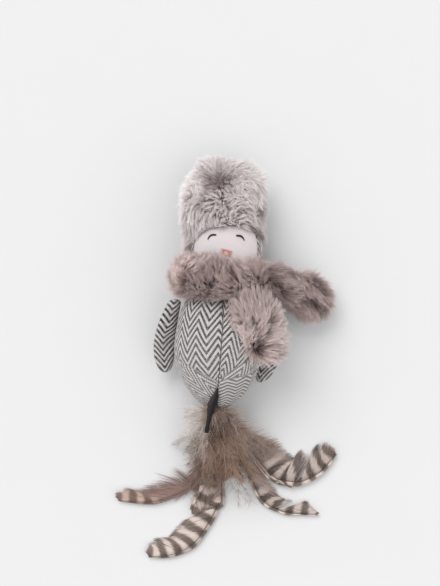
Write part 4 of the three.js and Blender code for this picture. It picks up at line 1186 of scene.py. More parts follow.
def body_panel(name):
    """One gore of the body: spun, walled, rounded, then pulled in at its seams and ribbed."""
    low, high, peak, grain, slope = BODY_PANELS[name]
    outline = spline(BODY_OUTLINE, np.linspace(0, 1, 21))
    steps = 10 if high - low < 100 else 20
    piece = spun(name + "_tweed", [tuple(pair) for pair in outline], low, high - low, steps)
    put_points(piece, pressed(points_of(piece), BODY_DEPTH))
    with Editing(piece):
        bpy.ops.mesh.inset(thickness=GORE_RIM * MM, use_boundary=True, use_even_offset=True)
    walled(piece, CLOTH)
    rounded(piece, 3)
    points, facing = points_of(piece), normals_of(piece)
    middle = (low + high) / 2
    up = (points[:, 2] - AXIS_Z) / BODY_DEPTH
    angle = np.degrees(np.arctan2(up, points[:, 0]))
    angle = (angle - middle + 180) % 360 - 180
    outline = np.array(BODY_OUTLINE)
    radius = np.interp(points[:, 1], outline[:, 1], outline[:, 0])
    along = np.interp(
        points[:, 1], outline[:, 1], np.cumsum(np.r_[0, np.hypot(*np.diff(outline, axis=0).T)])
    )
    lift = np.clip((points[:, 1] + 25) / 40, 0, 1) if high <= 180 else 0 * radius
    turn = -np.radians(SEAM_SWAY) * lift * np.sin(np.radians(angle + middle)) ** 2
    swayed = np.radians(angle + middle - peak) + turn
    across = swayed * COLUMN_RADIUS * (radius / COLUMN_RADIUS) ** COLUMN_EASE
    flat = (across, along)
    across, along = laid(flat, (0.0, WAIST), grain, 1.0)
    pleats = PLEAT_DEPTH * bell(flat[1], PLEAT_REACH) * np.sin(np.radians(angle) * PLEATS)
    slopes, gathered, crease = np.full(len(points), slope), 0 * across, 0 * across
    for line, place, edge, turn_by, steep, crowd in FOLDS.get(name, []):
        line = np.array(line)
        below = np.interp(points[:, 0], line[:, 0], line[:, 1]) - points[:, 1]
        below = np.where(points[:, 2] > AXIS_Z - 4, below, -9.0)
        away = np.hypot(points[:, 0] - place[0], points[:, 1] - place[1]) + 90 * (points[:, 2] < AXIS_Z)
        pivot = int(np.argmin(away))
        over, down = laid(flat, (flat[0][pivot], flat[1][pivot]), turn_by, crowd)
        across = np.where(below > 0, over + edge * COLUMN, across)
        along = np.where(below > 0, down, along)
        slopes = np.where(below > 0, steep * crowd, slopes)
        gathered = np.maximum(gathered, np.clip(below / 0.5 + 0.5, 0, 1))
        crease += TUCK_DIP * bell(below, TUCK_WIDTH)
    wander = GRAIN_WANDER * drift(points, 5.0, 13)
    across, along = across + wander[:, 0], along + wander[:, 1]
    away = np.stack([points[:, 0], np.zeros(len(points)), points[:, 2] - AXIS_Z], axis=1)
    outer = dot(facing, unit(away))[:, 0] > 0.15
    from_seam = np.clip(np.radians((high - low) / 2 - np.abs(angle)) * radius, 0, None)
    dip = SEAM_DIP * bell(from_seam, SEAM_WIDTH)
    ribs = stripe_height(across, along, COLUMN, STRIPE, slopes)
    relief = bpy.context.scene.bird_sizes.stripe_relief / MM
    lumps = GORE_LUMPS * drift(points, 9.0, 11)[:, 0]
    shift = np.where(outer, relief * (ribs - 0.5) + lumps + pleats - crease, 0) - dip
    edge = bell(from_seam, SEAM_HOLD)
    points = points + facing * (shift * (1 - 0.7 * edge * (~outer)))[:, None]
    reach = np.hypot(points[:, 0], (points[:, 2] - AXIS_Z) / BODY_DEPTH)
    held = np.minimum(1, (radius + 0.3) / np.maximum(reach, 0.1))
    held = np.where(points[:, 1] < BODY_OUTLINE[1][1], held, 1)
    points[:, 0] *= held
    pressed(points, held)
    if high <= 180:
        x, z = points[:, 0].copy(), points[:, 2] - AXIS_Z
        points[:, 0] = x * np.cos(turn) - z * np.sin(turn)
        points[:, 2] = AXIS_Z + x * np.sin(turn) + z * np.cos(turn)
    put_points(piece, floor_push(points))
    deep = np.clip((points[:, 1] + 12) / 38, 0, 1)
    cloth_coordinates(piece, across, along, deep, gathered, slopes)
    smooth(piece)
    fitted(piece, tweed_finish(name + "_herringbone", COLUMN, STRIPE), "tweed", "torso", name, soft=0.85)


class BIRD_OT_body(bpy.types.Operator):
    """Sews the body from its three tweed panels"""

    bl_idname = "bird.body"
    bl_label = "Body panels"

    def execute(self, context):
        for name in BODY_PANELS:
            body_panel(name)
        return {"FINISHED"}


def face_height(x, y):
    """Height of the face's surface over a place."""
    centre, radii = HEAD_CENTRE, HEAD_RADII
    share = 1 - ((x - centre[0]) / radii[0]) ** 2 - ((y - centre[1]) / radii[1]) ** 2
    return centre[2] + radii[2] * np.sqrt(np.maximum(share, 0.01))


def on_face(flat, lift):
    """Places lifted off the face, over flat ones."""
    return np.column_stack([flat, face_height(*flat.T) + lift])


def head_ball(name):
    piece = start(name, bpy.ops.mesh.primitive_uv_sphere_add, segments=96, ring_count=64, radius=MM)
    with Editing(piece):
        bpy.ops.transform.resize(value=HEAD_RADII, center_override=(0, 0, 0))
        bpy.ops.transform.translate(value=Vector(HEAD_CENTRE) * MM)
    return piece


def trimmed(piece, height, way, keep_above):
    """Cuts a piece with a flat plane and throws away what lies on one side."""
    with Editing(piece):
        bpy.ops.mesh.bisect(
            plane_co=tuple(Vector(way) * height * MM), plane_no=way,
            clear_inner=keep_above, clear_outer=not keep_above,
        )
    return piece


def from_rim(points):
    """Distance over the head from the seam round the face."""
    centre = np.array(HEAD_CENTRE)
    lift = np.clip((points[:, 2] - centre[2]) / HEAD_RADII[2], -1, 1)
    seam = (FACE_EDGE_Z - centre[2]) / HEAD_RADII[2]
    return np.abs(np.arcsin(lift) - math.asin(seam)) * HEAD_RADII[0]


def head_cloth(piece, uv):
    """Tucks the seam round the face in and gives the cloth its soft unevenness."""
    points, facing = points_of(piece), normals_of(piece)
    tuck = FACE_TUCK * bell(from_rim(points), FACE_TUCK_WIDTH)
    outer = dot(facing, unit(points - np.array(HEAD_CENTRE)))[:, 0] > 0
    lumps = np.where(outer, 0.22 * drift(points, 8.0, 21)[:, 0], 0)
    moved = points + facing * (lumps - tuck)[:, None]
    put_points(piece, floor_push(moved))
    if uv:
        spread = np.arctan2(points[:, 2] - AXIS_Z, points[:, 0] - HEAD_CENTRE[0]) * HEAD_RADII[0]
        cloth_coordinates(piece, spread, points[:, 1], 0.9, 0.0, SLOPE)
    return smooth(piece)


def head_shell(name, front):
    """The head's cover before or behind the seam round the face, open at the neck."""
    piece = head_ball(name)
    trimmed(piece, FACE_EDGE_Z, (0, 0, 1), front)
    trimmed(piece, NECK_Y, (0, 1, 0), True)
    walled(piece, CLOTH)
    head_cloth(piece, not front)
    return piece


def stitches(name, feet, heads, width, finish, slot, replaced):
    """A row of satin stitches, each a thread arched from its foot to its head."""
    share = np.linspace(0, 1, 7)
    paths = feet[:, None] + (heads - feet)[:, None] * share[None, :, None]
    arch = np.sin(np.pi * share) ** 0.5
    paths[:, :, 2] += STITCH_RISE * arch[None]
    radii = np.broadcast_to(width / 2 * (0.6 + 0.4 * arch), paths.shape[:2]).copy()
    marks = {"along": share[None] + 0.37 * np.arange(len(feet))[:, None]}
    piece = strands(name, paths, radii, marks)
    fitted(piece, finish, slot, "torso", replaced)


def eye_stitches(side, seed):
    """Feet and heads of the stitches of one closed eye, an arch that droops outwards."""
    rng = np.random.default_rng(seed)
    share = np.linspace(-1, 1, EYE_STITCHES)
    tilt = math.radians(-side * EYE_TILT)
    x, y = share * EYE_HALF, EYE_RISE * (1 - share**2)
    heading = np.arctan2(-2 * EYE_RISE * share / EYE_HALF, 1.0) + tilt
    middle_x = HEAD_CENTRE[0] + side * EYE_APART / 2 + x * math.cos(tilt) - y * math.sin(tilt)
    middle_y = EYE_Y + x * math.sin(tilt) + y * math.cos(tilt)
    inner = -side * share
    half = EYE_STITCH * (0.66 + 0.34 * np.cos(share * math.pi / 2)) * (1 + 0.34 * inner)
    half = half + rng.normal(size=len(share)) * 0.03
    ends = []
    for way in (-1, 1):
        px = middle_x - way * half * np.sin(heading)
        py = middle_y + way * half * np.cos(heading)
        ends.append(np.stack([px, py, face_height(px, py) + 0.05], axis=1))
    return ends


def beak_corners(margin):
    x, y = BEAK_CENTRE
    top, foot, half = BEAK_TOP / 2 + margin, BEAK_FOOT / 2 + margin, BEAK_HEIGHT / 2 + margin
    corners = np.array([(-top, half), (-foot, -half), (foot, -half), (top, half)])
    return turned(corners) + np.array([x, y])


def turned(flat):
    """Turns places round the beak's middle by its slant."""
    turn = math.radians(BEAK_TURN)
    return flat @ np.array([(math.cos(turn), math.sin(turn)), (-math.sin(turn), math.cos(turn))])


def beak_edge_stitches():
    """Short coral stitches set side by side along the beak's top and its two sides."""
    outer, inner = beak_corners(0.0), beak_corners(-0.95)
    feet, heads = [], []
    for k in (0, 2, 3):
        long = np.linalg.norm(outer[(k + 1) % 4] - outer[k])
        for share in np.linspace(0, 1, max(5, int(long / 0.3))):
            feet.append(outer[k] + (outer[(k + 1) % 4] - outer[k]) * share)
            heads.append(inner[k] + (inner[(k + 1) % 4] - inner[k]) * share)
    return [on_face(np.array(flat), 0.08) for flat in (feet, heads)]


def beak_fill_stitches():
    """Peach stitches across the middle of the beak, row by row."""
    rows = np.linspace(0.7 - BEAK_HEIGHT / 2, BEAK_HEIGHT / 2 - 0.7, 11)
    half = (BEAK_FOOT + (BEAK_TOP - BEAK_FOOT) * (rows / BEAK_HEIGHT + 0.5)) / 2 - 0.75
    ends = [turned(np.stack([way * half, rows], axis=1)) + np.array(BEAK_CENTRE) for way in (-1, 1)]
    return [on_face(flat, -0.12) for flat in ends]


class BIRD_OT_head(bpy.types.Operator):
    """Sews the hood and the face, and stitches the eyes and the beak"""

    bl_idname = "bird.head"
    bl_label = "Head, eyes and beak"

    def execute(self, context):
        face = head_shell("face_panel_fleece", True)
        fitted(face, fleece_finish(), "fleece", "torso", "face_panel", soft=0.9)
        hood = head_shell("head_hood_tweed", False)
        weave = tweed_finish("hood_herringbone", HOOD_COLUMN, WING_STRIPE)
        fitted(hood, weave, "tweed", "torso", "head_hood", soft=0.9)
        for side, name in ((-1, "eye_right"), (1, "eye_left")):
            feet, heads = eye_stitches(side, 31 + side)
            finish = thread_finish(name + "_satin", "eye_thread", tint(18, 16, 19))
            stitches(name + "_stitches", feet, heads, 0.34, finish, "eye_thread", name)
        feet, heads = beak_edge_stitches()
        coral = thread_finish("beak_coral", "beak_thread", tint(228, 150, 134))
        stitches("beak_edge_stitches", feet, heads, 0.42, coral, "beak_thread", "beak_outline")
        feet, heads = beak_fill_stitches()
        peach = thread_finish("beak_peach", "beak_fill", tint(230, 188, 172))
        stitches("beak_fill_stitches", feet, heads, 0.5, peach, "beak_filling", "beak_fill")
        return {"FINISHED"}


def window_value(points):
    """Below 1 within the hat's opening for the face."""
    (cx, cy), (rx, ry), power = HAT_WINDOW
    return (np.abs(points[:, 0] - cx) / rx) ** power + (np.abs(points[:, 1] - cy) / ry) ** power


def hat_skin():
    """The hat's cloth: spun, sunk by the pile's height, and cut open over the face."""
    sizes = bpy.context.scene.bird_sizes
    outline = spline(HAT_OUTLINE, np.linspace(0, 1, 25))
    outline[0, 0] = 0.0
    piece = spun("hat_cloth", [tuple(pair) for pair in outline], 0, 360, 36)
    rounded(piece, 1)
    points = pressed(points_of(piece), HAT_DEPTH)
    put_points(piece, points)
    facing = normals_of(piece)
    points = points - facing * (sizes.hat_pile / MM)
    hollow = np.exp(-(((points[:, 0] - WHORL[0]) ** 2 + (points[:, 1] - WHORL[1]) ** 2) / WHORL_RADIUS**2))
    front = np.clip(facing[:, 2], 0, 1)
    points -= facing * (WHORL_DEPTH * hollow * front)[:, None]
    points += facing * (0.5 * drift(points, 8.0, 41)[:, :1])
    put_points(piece, floor_push(points))
    with Editing(piece):
        bpy.ops.mesh.select_all(action="DESELECT")
    centres = np.array([points[list(face.vertices)].mean(axis=0) for face in piece.data.polygons])
    opening = (window_value(centres) < 1) & (centres[:, 2] > HAT_WINDOW_Z)
    piece.data.polygons.foreach_set("select", opening)
    pick_up(piece)
    bpy.ops.object.mode_set(mode="EDIT")
    bpy.ops.mesh.delete(type="FACE")
    bpy.ops.object.mode_set(mode="OBJECT")
    return piece


def hat_clear(places, ends):
    """Shortens hairs that would hang over the face, and keeps them off the head."""
    for _ in range(6):
        over = (window_value(ends) < 0.86) & (ends[:, 2] > HAT_WINDOW_Z - 2)
        ends = np.where(over[:, None], places + (ends - places) * 0.72, ends)
    return floor_push(head_push(ends, 0.4))


# The hat's short and long coats, and what both have in common
HAT_COATS = {
    "hat_fur_under": {
        "count": 15000, "length": 0.6, "lean": 0.9, "locks": 2400, "grip": 0.6, "curl": 0.6, "seed": 51,
    },
    "hat_fur_guard": {
        "count": 19500, "length": 1.0, "lean": 1.15, "locks": 2300, "grip": 0.84, "curl": 1.1, "seed": 61,
    },
}
# gap: how strongly painted shade darkens the hairs between locks
HAT_LOOK = {
    "swirl": 5.0, "wander": 0.7, "jitter": 0.11, "patch": 7.0, "gap": 1.0, "side": 0.08, "front": 0.22,
    "loose": 0.8,
}


class BIRD_OT_hat(bpy.types.Operator):
    """Makes the tall hat: its cloth and two coats of frosted fur"""

    bl_idname = "bird.hat"
    bl_label = "Fur hat"

    def execute(self, context):
        sizes = context.scene.bird_sizes
        skin = hat_skin()

        def main(points, facing):
            away = points - np.array([WHORL[0] + 1.6, WHORL[1] - 2.4, 46.0])
            lay = unit(away) + np.array([0.0, -0.25, 0.0])
            lay[:, 1] += 0.9 * np.clip((points[:, 1] - 100) / 10, 0, 1)
            return lay

        finish = fur_finish("hat_fur_hairs", "hat_root", "hat_middle", "hat_tip")
        for name, coat in HAT_COATS.items():
            places, facing = scattered(skin, coat["count"], coat["seed"])
            lay, shade = lay_of(places, facing, main, HAT_PARTINGS)
            look = {
                **HAT_LOOK, **coat, "length": coat["length"] * sizes.hat_hair / MM,
                "hair": sizes.hair_width / MM, "bright": FROST_AND_PAINTED_LIGHT["hat"],
            }
            clear = partial(hat_clear, places)
            piece = fur(name, places, facing, lay, shade, look, coat["seed"], clear)
            fitted(piece, finish, "hat_fur", "torso")
        walled(skin, HAT_CLOTH)
        smooth(skin)
        backing = backing_finish("hat_backing", tint(120, 104, 104), tint(86, 72, 73))
        fitted(skin, backing, "hat_fur", "torso", "hat", soft=0.8)
        return {"FINISHED"}


COLLAR_CLEAR = 0.6


def collar_skin():
    """The scarf's cloth round the neck: a torus flattened front to back, kept off head and body."""
    pile = bpy.context.scene.bird_sizes.scarf_pile / MM
    piece = start(
        "scarf_collar_cloth", bpy.ops.mesh.primitive_torus_add, major_segments=112, minor_segments=40,
        major_radius=COLLAR_RING * MM, minor_radius=MM, rotation=(math.pi / 2, 0, 0),
    )
    pick_up(piece)
    bpy.ops.object.transform_apply(location=False, rotation=True, scale=False)
    points = points_of(piece)
    reach = np.hypot(points[:, 0], points[:, 2])
    turn = np.arctan2(points[:, 2], points[:, 0])
    out, rise = reach - COLLAR_RING, points[:, 1]
    wobble = 1 + 0.05 * np.sin(3 * turn + 1) + 0.04 * np.sin(7 * turn)
    radius = COLLAR_RING + out * (COLLAR_RADII[0] - pile) * wobble
    high = COLLAR_Y + rise * (COLLAR_RADII[1] - pile) * wobble - COLLAR_TILT * points[:, 0] / COLLAR_RING
    points = np.stack(
        [radius * np.cos(turn), high, COLLAR_Z + COLLAR_DEPTH * radius * np.sin(turn)], axis=1
    )
    points = body_push(head_push(points, COLLAR_CLEAR), COLLAR_CLEAR)
    points[:, 0] -= 1.8 * np.clip((-17 - points[:, 0]) / 8, 0, 1)
    points[:, 2] = np.maximum(points[:, 2], FLOOR + COLLAR_CLEAR)
    put_points(piece, points)
    return piece


def end_skin(name, axis, stations, pile):
    """The cloth of one hanging end, drawn out from ring to ring inside its fur."""
    begin, reach = stations[0][0], abs(stations[-1][0] - stations[0][0])
    inner = []
    for at, first, height, half, tall in stations[:-1]:
        shorter = begin + (at - begin) * (1 - pile / reach)
        inner.append((shorter, first, height, max(half - pile, 1.4), max(tall - pile, 1.4)))
    shares = np.linspace(0, 1, 3 * len(inner))
    piece = rounded(drawn_out(name, axis, [tuple(s) for s in spline(inner, shares)], 20), 1)
    put_points(piece, floor_push(body_push(points_of(piece), 1.4)))
    return piece


# Room for the left wing's swing: x from and to, below a height, and the lowest y of fur there
WING_ROOM = (22.0, 36.0, 27.0, 28.6)


def scarf_clear(ends):
    """Keeps fur off the head, the body and the floor, and out of the left wing's swing."""
    low_x, high_x, top, low_y = WING_ROOM
    swing = (ends[:, 0] > low_x) & (ends[:, 0] < high_x) & (ends[:, 2] < top)
    ends[:, 1] = np.where(swing, np.maximum(ends[:, 1], low_y), ends[:, 1])
    return floor_push(body_push(head_push(ends, 0.3), 0.3))


def hang(piece, node, body):
    """Fixes a piece to its body; a loose end of the scarf only has its place baked into its mesh."""
    if node in BENDS:
        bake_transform(piece)
    else:
        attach(piece, body)


# gap: how strongly painted shade darkens the hairs between locks
SCARF_LOOK = {
    "lean": 1.15, "grip": 0.76, "curl": 1.1, "swirl": 5.0, "wander": 0.5, "jitter": 0.15, "patch": 6.0,
    "gap": 0.85, "side": 0.0, "front": 0.0, "loose": 0.5,
}
HAIRS_TO_A_LOCK = 10


class BIRD_OT_scarf(bpy.types.Operator):
    """Makes the fur scarf: the collar and its two loose ends"""

    bl_idname = "bird.scarf"
    bl_label = "Fur scarf"

    def execute(self, context):
        sizes = context.scene.bird_sizes
        pile = sizes.scarf_pile / MM
        dusk = fur_finish("scarf_fur_hairs", "scarf_root", "scarf_middle", "scarf_tip")
        flap = fur_finish("front_end_hairs", "scarf_root", "flap_middle", "flap_tip")
        backing = backing_finish("scarf_backing", tint(96, 78, 76), tint(66, 50, 49))

        def collar_main(points, facing):
            turn = np.arctan2(points[:, 2] - COLLAR_Z, points[:, 0])
            round_ring = np.stack([np.sin(turn), 0 * turn, -np.cos(turn)], axis=1)
            lay = 0.7 * round_ring + 0.7 * drift(points, 12.0, 71)
            lay[:, 1] += 0.35
            return lay

        def side_main(points, facing):
            return np.array([0.9, -0.45, 0.1]) + 0.8 * drift(points, 10.0, 72)

        def front_main(points, facing):
            away = points - np.array([20.8, 2.6, 44.0])
            return unit(away) * 1.1 + 0.35 * drift(points, 9.0, 73)

        def collar_outside(centres, facing):
            from_axis = np.stack([centres[:, 0], 0 * centres[:, 0], centres[:, 2] - COLLAR_Z], axis=1)
            outwards = dot(facing, unit(from_axis))[:, 0]
            return (outwards > -0.45).astype(float)

        collar = collar_skin()
        side = end_skin("scarf_end_side_cloth", "X", SIDE_END, pile)
        front = end_skin("scarf_end_front_cloth", "Y", FRONT_END, pile)
        plan = [
            (
                collar, "scarf_collar", "torso", 18500, collar_main, COLLAR_PARTINGS, dusk,
                collar_outside, 81,
            ),
            (
                side, "scarf_end_side", "scarf_side", 16000, side_main, SIDE_PARTINGS, dusk,
                lambda centres, facing: (facing[:, 0] > -0.8).astype(float), 82,
            ),
            (
                front, "scarf_end_front", "scarf_front", 15000, front_main, FRONT_PARTINGS, flap,
                lambda centres, facing: (facing[:, 1] < 0.8).astype(float), 83,
            ),
        ]
        for skin, node, body, count, main, partings, finish, wanted, seed in plan:
            places, facing = scattered(skin, count, seed, wanted)
            lay, shade = lay_of(places, facing, main, partings)
            look = dict(
                SCARF_LOOK, length=sizes.scarf_hair / MM, hair=sizes.hair_width / MM,
                locks=count // HAIRS_TO_A_LOCK, bright=FROST_AND_PAINTED_LIGHT[node],
            )
            piece = fur(node + "_fur", places, facing, lay, shade, look, seed, scarf_clear)
            dress(piece, finish)
            hang(piece, node, body)
            smooth(skin)
            dress(skin, backing)
            hang(skin, node, body)
            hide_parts(node)
        return {"FINISHED"}


def wing_side(name, plan, way):
    """One leaf of a wing: a grid bent to the leaf's outline and swell, walled and edged."""
    piece, across, down = flat_grid(name, 44, 130)
    share = (down + 1) / 2
    root, tip = np.array(plan["root"]), np.array(plan["tip"])
    length = np.linalg.norm(tip - root)
    leaf = np.array(spline(WING_OUTLINE, np.linspace(0, 1, 80)))
    nose = np.sqrt(np.clip(1 - (np.clip(0.06 - share, 0, 0.06) / 0.06) ** 2, 0.02, 1))
    half = np.interp(share, leaf[:, 0], leaf[:, 1]) * nose
    lean = math.radians(plan["lean"])
    sideways = np.array([math.cos(lean), 0, -math.sin(lean)])
    outwards = np.array([math.sin(lean), 0, math.cos(lean)])
    centre = root + (tip - root) * share[:, None]
    centre[:, 0] += plan["bow"] * np.sin(np.pi * share)
    swell = np.clip(1 - np.abs(across) ** 2.4, 0, 1) ** 0.7 * np.minimum(1, half / 6.1 * 1.2)
    seam_near = bell((1 - np.abs(across)) * half, WING_SEAM)
    cloth = np.column_stack([across * half, share * length, 0 * share])
    wander = GRAIN_WANDER * drift(cloth, 4.0, 15)
    run = share * length + wander[:, 1]
    relief = bpy.context.scene.bird_sizes.stripe_relief / MM
    weave = across * half + 1.3 + wander[:, 0]
    slopes = WING_SLOPE * (1 + 0.45 * share**2)
    ribs = stripe_height(weave, run, WING_COLUMN, WING_STRIPE, slopes)
    up = 0.15 + WING_LIP * 0.6 + (WING_THICK - WING_CLOTH) * swell
    up = up + relief * (ribs - 0.5) - 0.15 * seam_near
    up += WING_WRINKLE * drift(cloth, 3.0, 16 + way)[:, 0] * swell
    points = centre + sideways * (across * half)[:, None] + outwards * (way * up)[:, None]
    put_points(piece, points)
    with Editing(piece):
        if way * (normals_of(piece) @ outwards).sum() < 0:
            bpy.ops.mesh.flip_normals()
    cloth_coordinates(piece, weave, run, 1.0, 0.0, slopes)
    walled(piece, WING_CLOTH)
    smooth(piece)
    return piece


class BIRD_OT_wings(bpy.types.Operator):
    """Sews each wing from two tweed leaves"""

    bl_idname = "bird.wings"
    bl_label = "Wings"

    def execute(self, context):
        for name, plan in WINGS.items():
            finish = tweed_finish(name + "_herringbone", WING_COLUMN, WING_STRIPE)
            for way, half in ((1, "_top"), (-1, "_under")):
                piece = wing_side(name + half + "_tweed", plan, way)
                fitted(piece, finish, "tweed", name, name + half, soft=0.6)
        return {"FINISHED"}


def fan_point(angle, distance):
    turn = math.radians(angle)
    return np.array([TAIL_PIVOT[0] + distance * math.sin(turn), TAIL_PIVOT[1] - distance * math.cos(turn)])


def quill_height(distance, layer):
    fall = np.exp(-np.maximum(0, distance - TAIL_ROOT) / QUILL_EASE)
    return QUILL_LOW + QUILL_DROP * fall + LAYER_RISE * layer * (1 - fall)


def quill_line(plan, shares):
    """Places of a quill's middle, its headings, the ways across its vane, and its length."""
    stations = [tuple(fan_point(plan["angle"], TAIL_ROOT)), *plan["line"]]
    fine = spline(stations, np.linspace(0, 1, 240))
    run = np.r_[0, np.cumsum(np.linalg.norm(np.diff(fine, axis=0), axis=1))]
    at = np.asarray(shares) * run[-1]
    flat = np.stack([np.interp(at, run, fine[:, k]) for k in (0, 1)], axis=1)
    heading = unit(np.stack([np.interp(at, run, np.gradient(fine[:, k])) for k in (0, 1)], axis=1))
    across = np.stack([-heading[:, 1], heading[:, 0]], axis=1)
    height = quill_height(np.hypot(flat[:, 0] - TAIL_PIVOT[0], flat[:, 1] - TAIL_PIVOT[1]), plan["layer"])
    return np.column_stack([flat, height]), heading, across, run[-1]


def quill(name, plan):
    """The quill: a thin shaft that tapers from its root to its point."""
    shares = np.linspace(0, 1, 60)
    line, _, _, _ = quill_line(plan, shares)
    line[:, 2] += 0.1
    radii = np.interp(shares, [0, 0.5, 1], QUILL_RADII)
    return strands(name, line[None], radii[None], {"along": shares[None]})


def vane(name, plan, seed):
    """Both sides of a vane: barbs set close along the quill, parted where the feather is split."""
    rng = np.random.default_rng(seed)
    span = quill_line(plan, [0.0])[3]
    stations = np.linspace(0, 1, 6)
    width = bpy.context.scene.bird_sizes.barb_width / MM
    count = int(span * (1 - plan["from"] * 0.8) / (BARB_SPACING * width))
    paths, radii, wide = [], [], []
    marks = {mark: [] for mark in ("run", "bars", "tone", "along", "warm")}
    for side, reach in ((-1, plan["vane"][0]), (1, plan["vane"][1])):
        shares = np.linspace(plan["from"] * 0.8, 0.99, count)
        grown = np.clip((shares - plan["from"]) / (1 - plan["from"]), 0, 1)
        full = np.interp(grown, np.linspace(0, 1, len(plan["leaf"])), plan["leaf"]) * reach
        plume = np.clip((plan["plume"] - grown) / 0.22, 0, 1)
        full = np.maximum(full, 0.7) * (1 + plume * rng.uniform(-0.3, 0.12, count))
        full *= 1 + 0.05 * np.sin(grown * 23 + side) + 0.025 * rng.normal(size=count)
        wide_open, closed = plan["sweep"]
        sweep = np.radians(wide_open + (closed - wide_open) * grown + 5 * np.sin(grown * 17 + 2 * side))
        for at, where in plan["splits"]:
            if where == side:
                gap = (shares - at) / SPLIT_WIDTH
                sweep += np.radians(SPLIT_TURN) * np.sign(gap + 1e-9) * -np.exp(-(gap**2))
                full *= 1 - 0.3 * np.exp(-((gap * 2.4) ** 2))
        sweep += np.radians(2 + 6 * plume) * rng.normal(size=count)
        line, heading, across, _ = quill_line(plan, shares)
        curve = 0.3 + 0.3 * plume
        turns = sweep[:, None] * (1 - curve[:, None] * stations[None] * 0.7)
        reach_out = full / np.maximum(np.sin(turns).mean(axis=1), 0.55)
        room = ((1 - shares) * span + 2.0) / np.maximum(np.cos(0.8 * sweep), 0.3)
        reach_out = np.minimum(reach_out, room)
        step = np.r_[0, np.diff(stations)][None] * reach_out[:, None]
        ahead = np.cumsum(step * np.cos(turns), axis=1)
        off = np.cumsum(step * np.sin(turns), axis=1)
        flat = line[:, None, :2] + heading[:, None] * ahead[..., None]
        flat = flat + side * across[:, None] * off[..., None]
        lift = 0.3 * plume * rng.normal(size=count)
        height = line[:, None, 2] - 1.0 * (off / 9) ** 2 + lift[:, None] * stations
        paths.append(np.concatenate([flat, np.maximum(height, FLOOR)[..., None]], axis=2))
        grow = width / 2 * (1 - 0.25 * plume)
        radii.append(grow[:, None] * np.array(BARB_TAPER))
        wide.append(np.repeat(np.column_stack([heading, 0 * shares])[:, None], 6, axis=1))
        spread = np.ones((count, 6))
        ragged = 0.35 * rng.normal(size=(count, 1)) + 0.9 * np.sin(grown * 31 + side)[:, None] * stations
        marks["run"].append(shares[:, None] * span + ahead + plan["phase"] + ragged)
        strong = np.clip((grown - plan["bars"]) / 0.15, 0, 1)[:, None]
        marks["bars"].append(strong * (1 - 0.25 * stations) * rng.uniform(0.8, 1.0, (count, 1)))
        marks["tone"].append(spread * np.clip(0.5 + 0.17 * rng.normal(size=(count, 1)), 0, 1))
        marks["along"].append(spread * stations)
        marks["warm"].append(spread * plan["warm"])
    marks = {mark: np.concatenate(values) for mark, values in marks.items()}
    paths, radii, wide = (np.concatenate(values) for values in (paths, radii, wide))
    return strands(name, paths, radii, marks, wide, BARB_SLIM)


def tail_binding():
    """The whipping: rows of thread laid side by side round the quills' fan."""
    low, high = TAIL_FAN
    turns = np.radians(np.linspace(0, 340, 33))
    paths, tone = [], []
    for distance in np.linspace(*BINDING_ROWS):
        reach = min(1.0, 0.35 + distance / 8)
        spread = (high - low) / 2 * reach
        angle = (low + high) / 2 + spread * np.cos(turns)
        flat = np.array([fan_point(a, distance + 0.05 * k / 33) for k, a in enumerate(angle)])
        height = AXIS_Z + 1.9 * np.sin(turns)
        paths.append(np.column_stack([flat, height]))
        tone.append(np.linspace(0, 6, 33))
    paths = np.array(paths)
    radii = np.full(paths.shape[:2], BINDING_THREAD)
    return strands("tail_binding_thread", paths, radii, {"along": np.array(tone)})


class BIRD_OT_tail(bpy.types.Operator):
    """Makes the six barred feathers and the thread that binds them"""

    bl_idname = "bird.tail"
    bl_label = "Tail feathers"

    def execute(self, context):
        vanes, quills = feather_finish(), quill_finish()
        for index, (name, plan) in enumerate(FEATHERS.items()):
            shaft = quill(name + "_quill", plan)
            fitted(shaft, quills, "feather", name)
            blade = vane(name + "_vane", plan, 101 + index)
            fitted(blade, vanes, "feather", name, name)
        thread = thread_finish("binding_whipping", "binding", tint(62, 47, 40))
        fitted(tail_binding(), thread, "binding_thread", "tail", "tail_binding")
        return {"FINISHED"}


def down_core(name, centre, radii):
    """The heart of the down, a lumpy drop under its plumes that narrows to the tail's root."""
    piece = start(name, bpy.ops.mesh.primitive_ico_sphere_add, subdivisions=5, radius=MM)
    with Editing(piece):
        bpy.ops.transform.resize(value=radii, center_override=(0, 0, 0))
        bpy.ops.transform.translate(value=Vector(centre) * MM)
    points, facing = points_of(piece), normals_of(piece)
    down_share = np.clip((centre[1] + radii[1] - points[:, 1]) / (2 * radii[1]), 0, 1)
    narrow = 0.42 + 0.58 * down_share
    points[:, 0] = centre[0] + (points[:, 0] - centre[0]) * narrow - 4.0 * (1 - down_share)
    points += facing * (0.9 * drift(points, 5.0, 91)[:, :1] + 0.4 * drift(points, 2.0, 92)[:, :1])
    put_points(piece, floor_push(points))
    tones = np.clip(0.5 + 0.2 * drift(points, 2.5, 93)[:, 0], 0, 1)
    # Painted shade: the hidden heart is coloured mostly dark, as it lies in the shade inside the down
    for mark, values in (("along", 0.0), ("tone", tones), ("shade", 0.85), ("pale", 0.0)):
        put_mark(piece.data, mark, values)
    return smooth(piece)


def tab_push(points):
    """Keeps down under the suede strip that lies over it."""
    line = np.array(TAB_STATIONS)[::-1]
    middle, half, high = (np.interp(points[..., 1], line[:, 1], line[:, k]) for k in (0, 2, 3))
    near = (np.abs(points[..., 0] - middle) < half + 0.8) & (points[..., 1] > line[0, 1] - 0.8)
    points[..., 2] = np.where(near, np.minimum(points[..., 2], high - 0.4), points[..., 2])
    return points


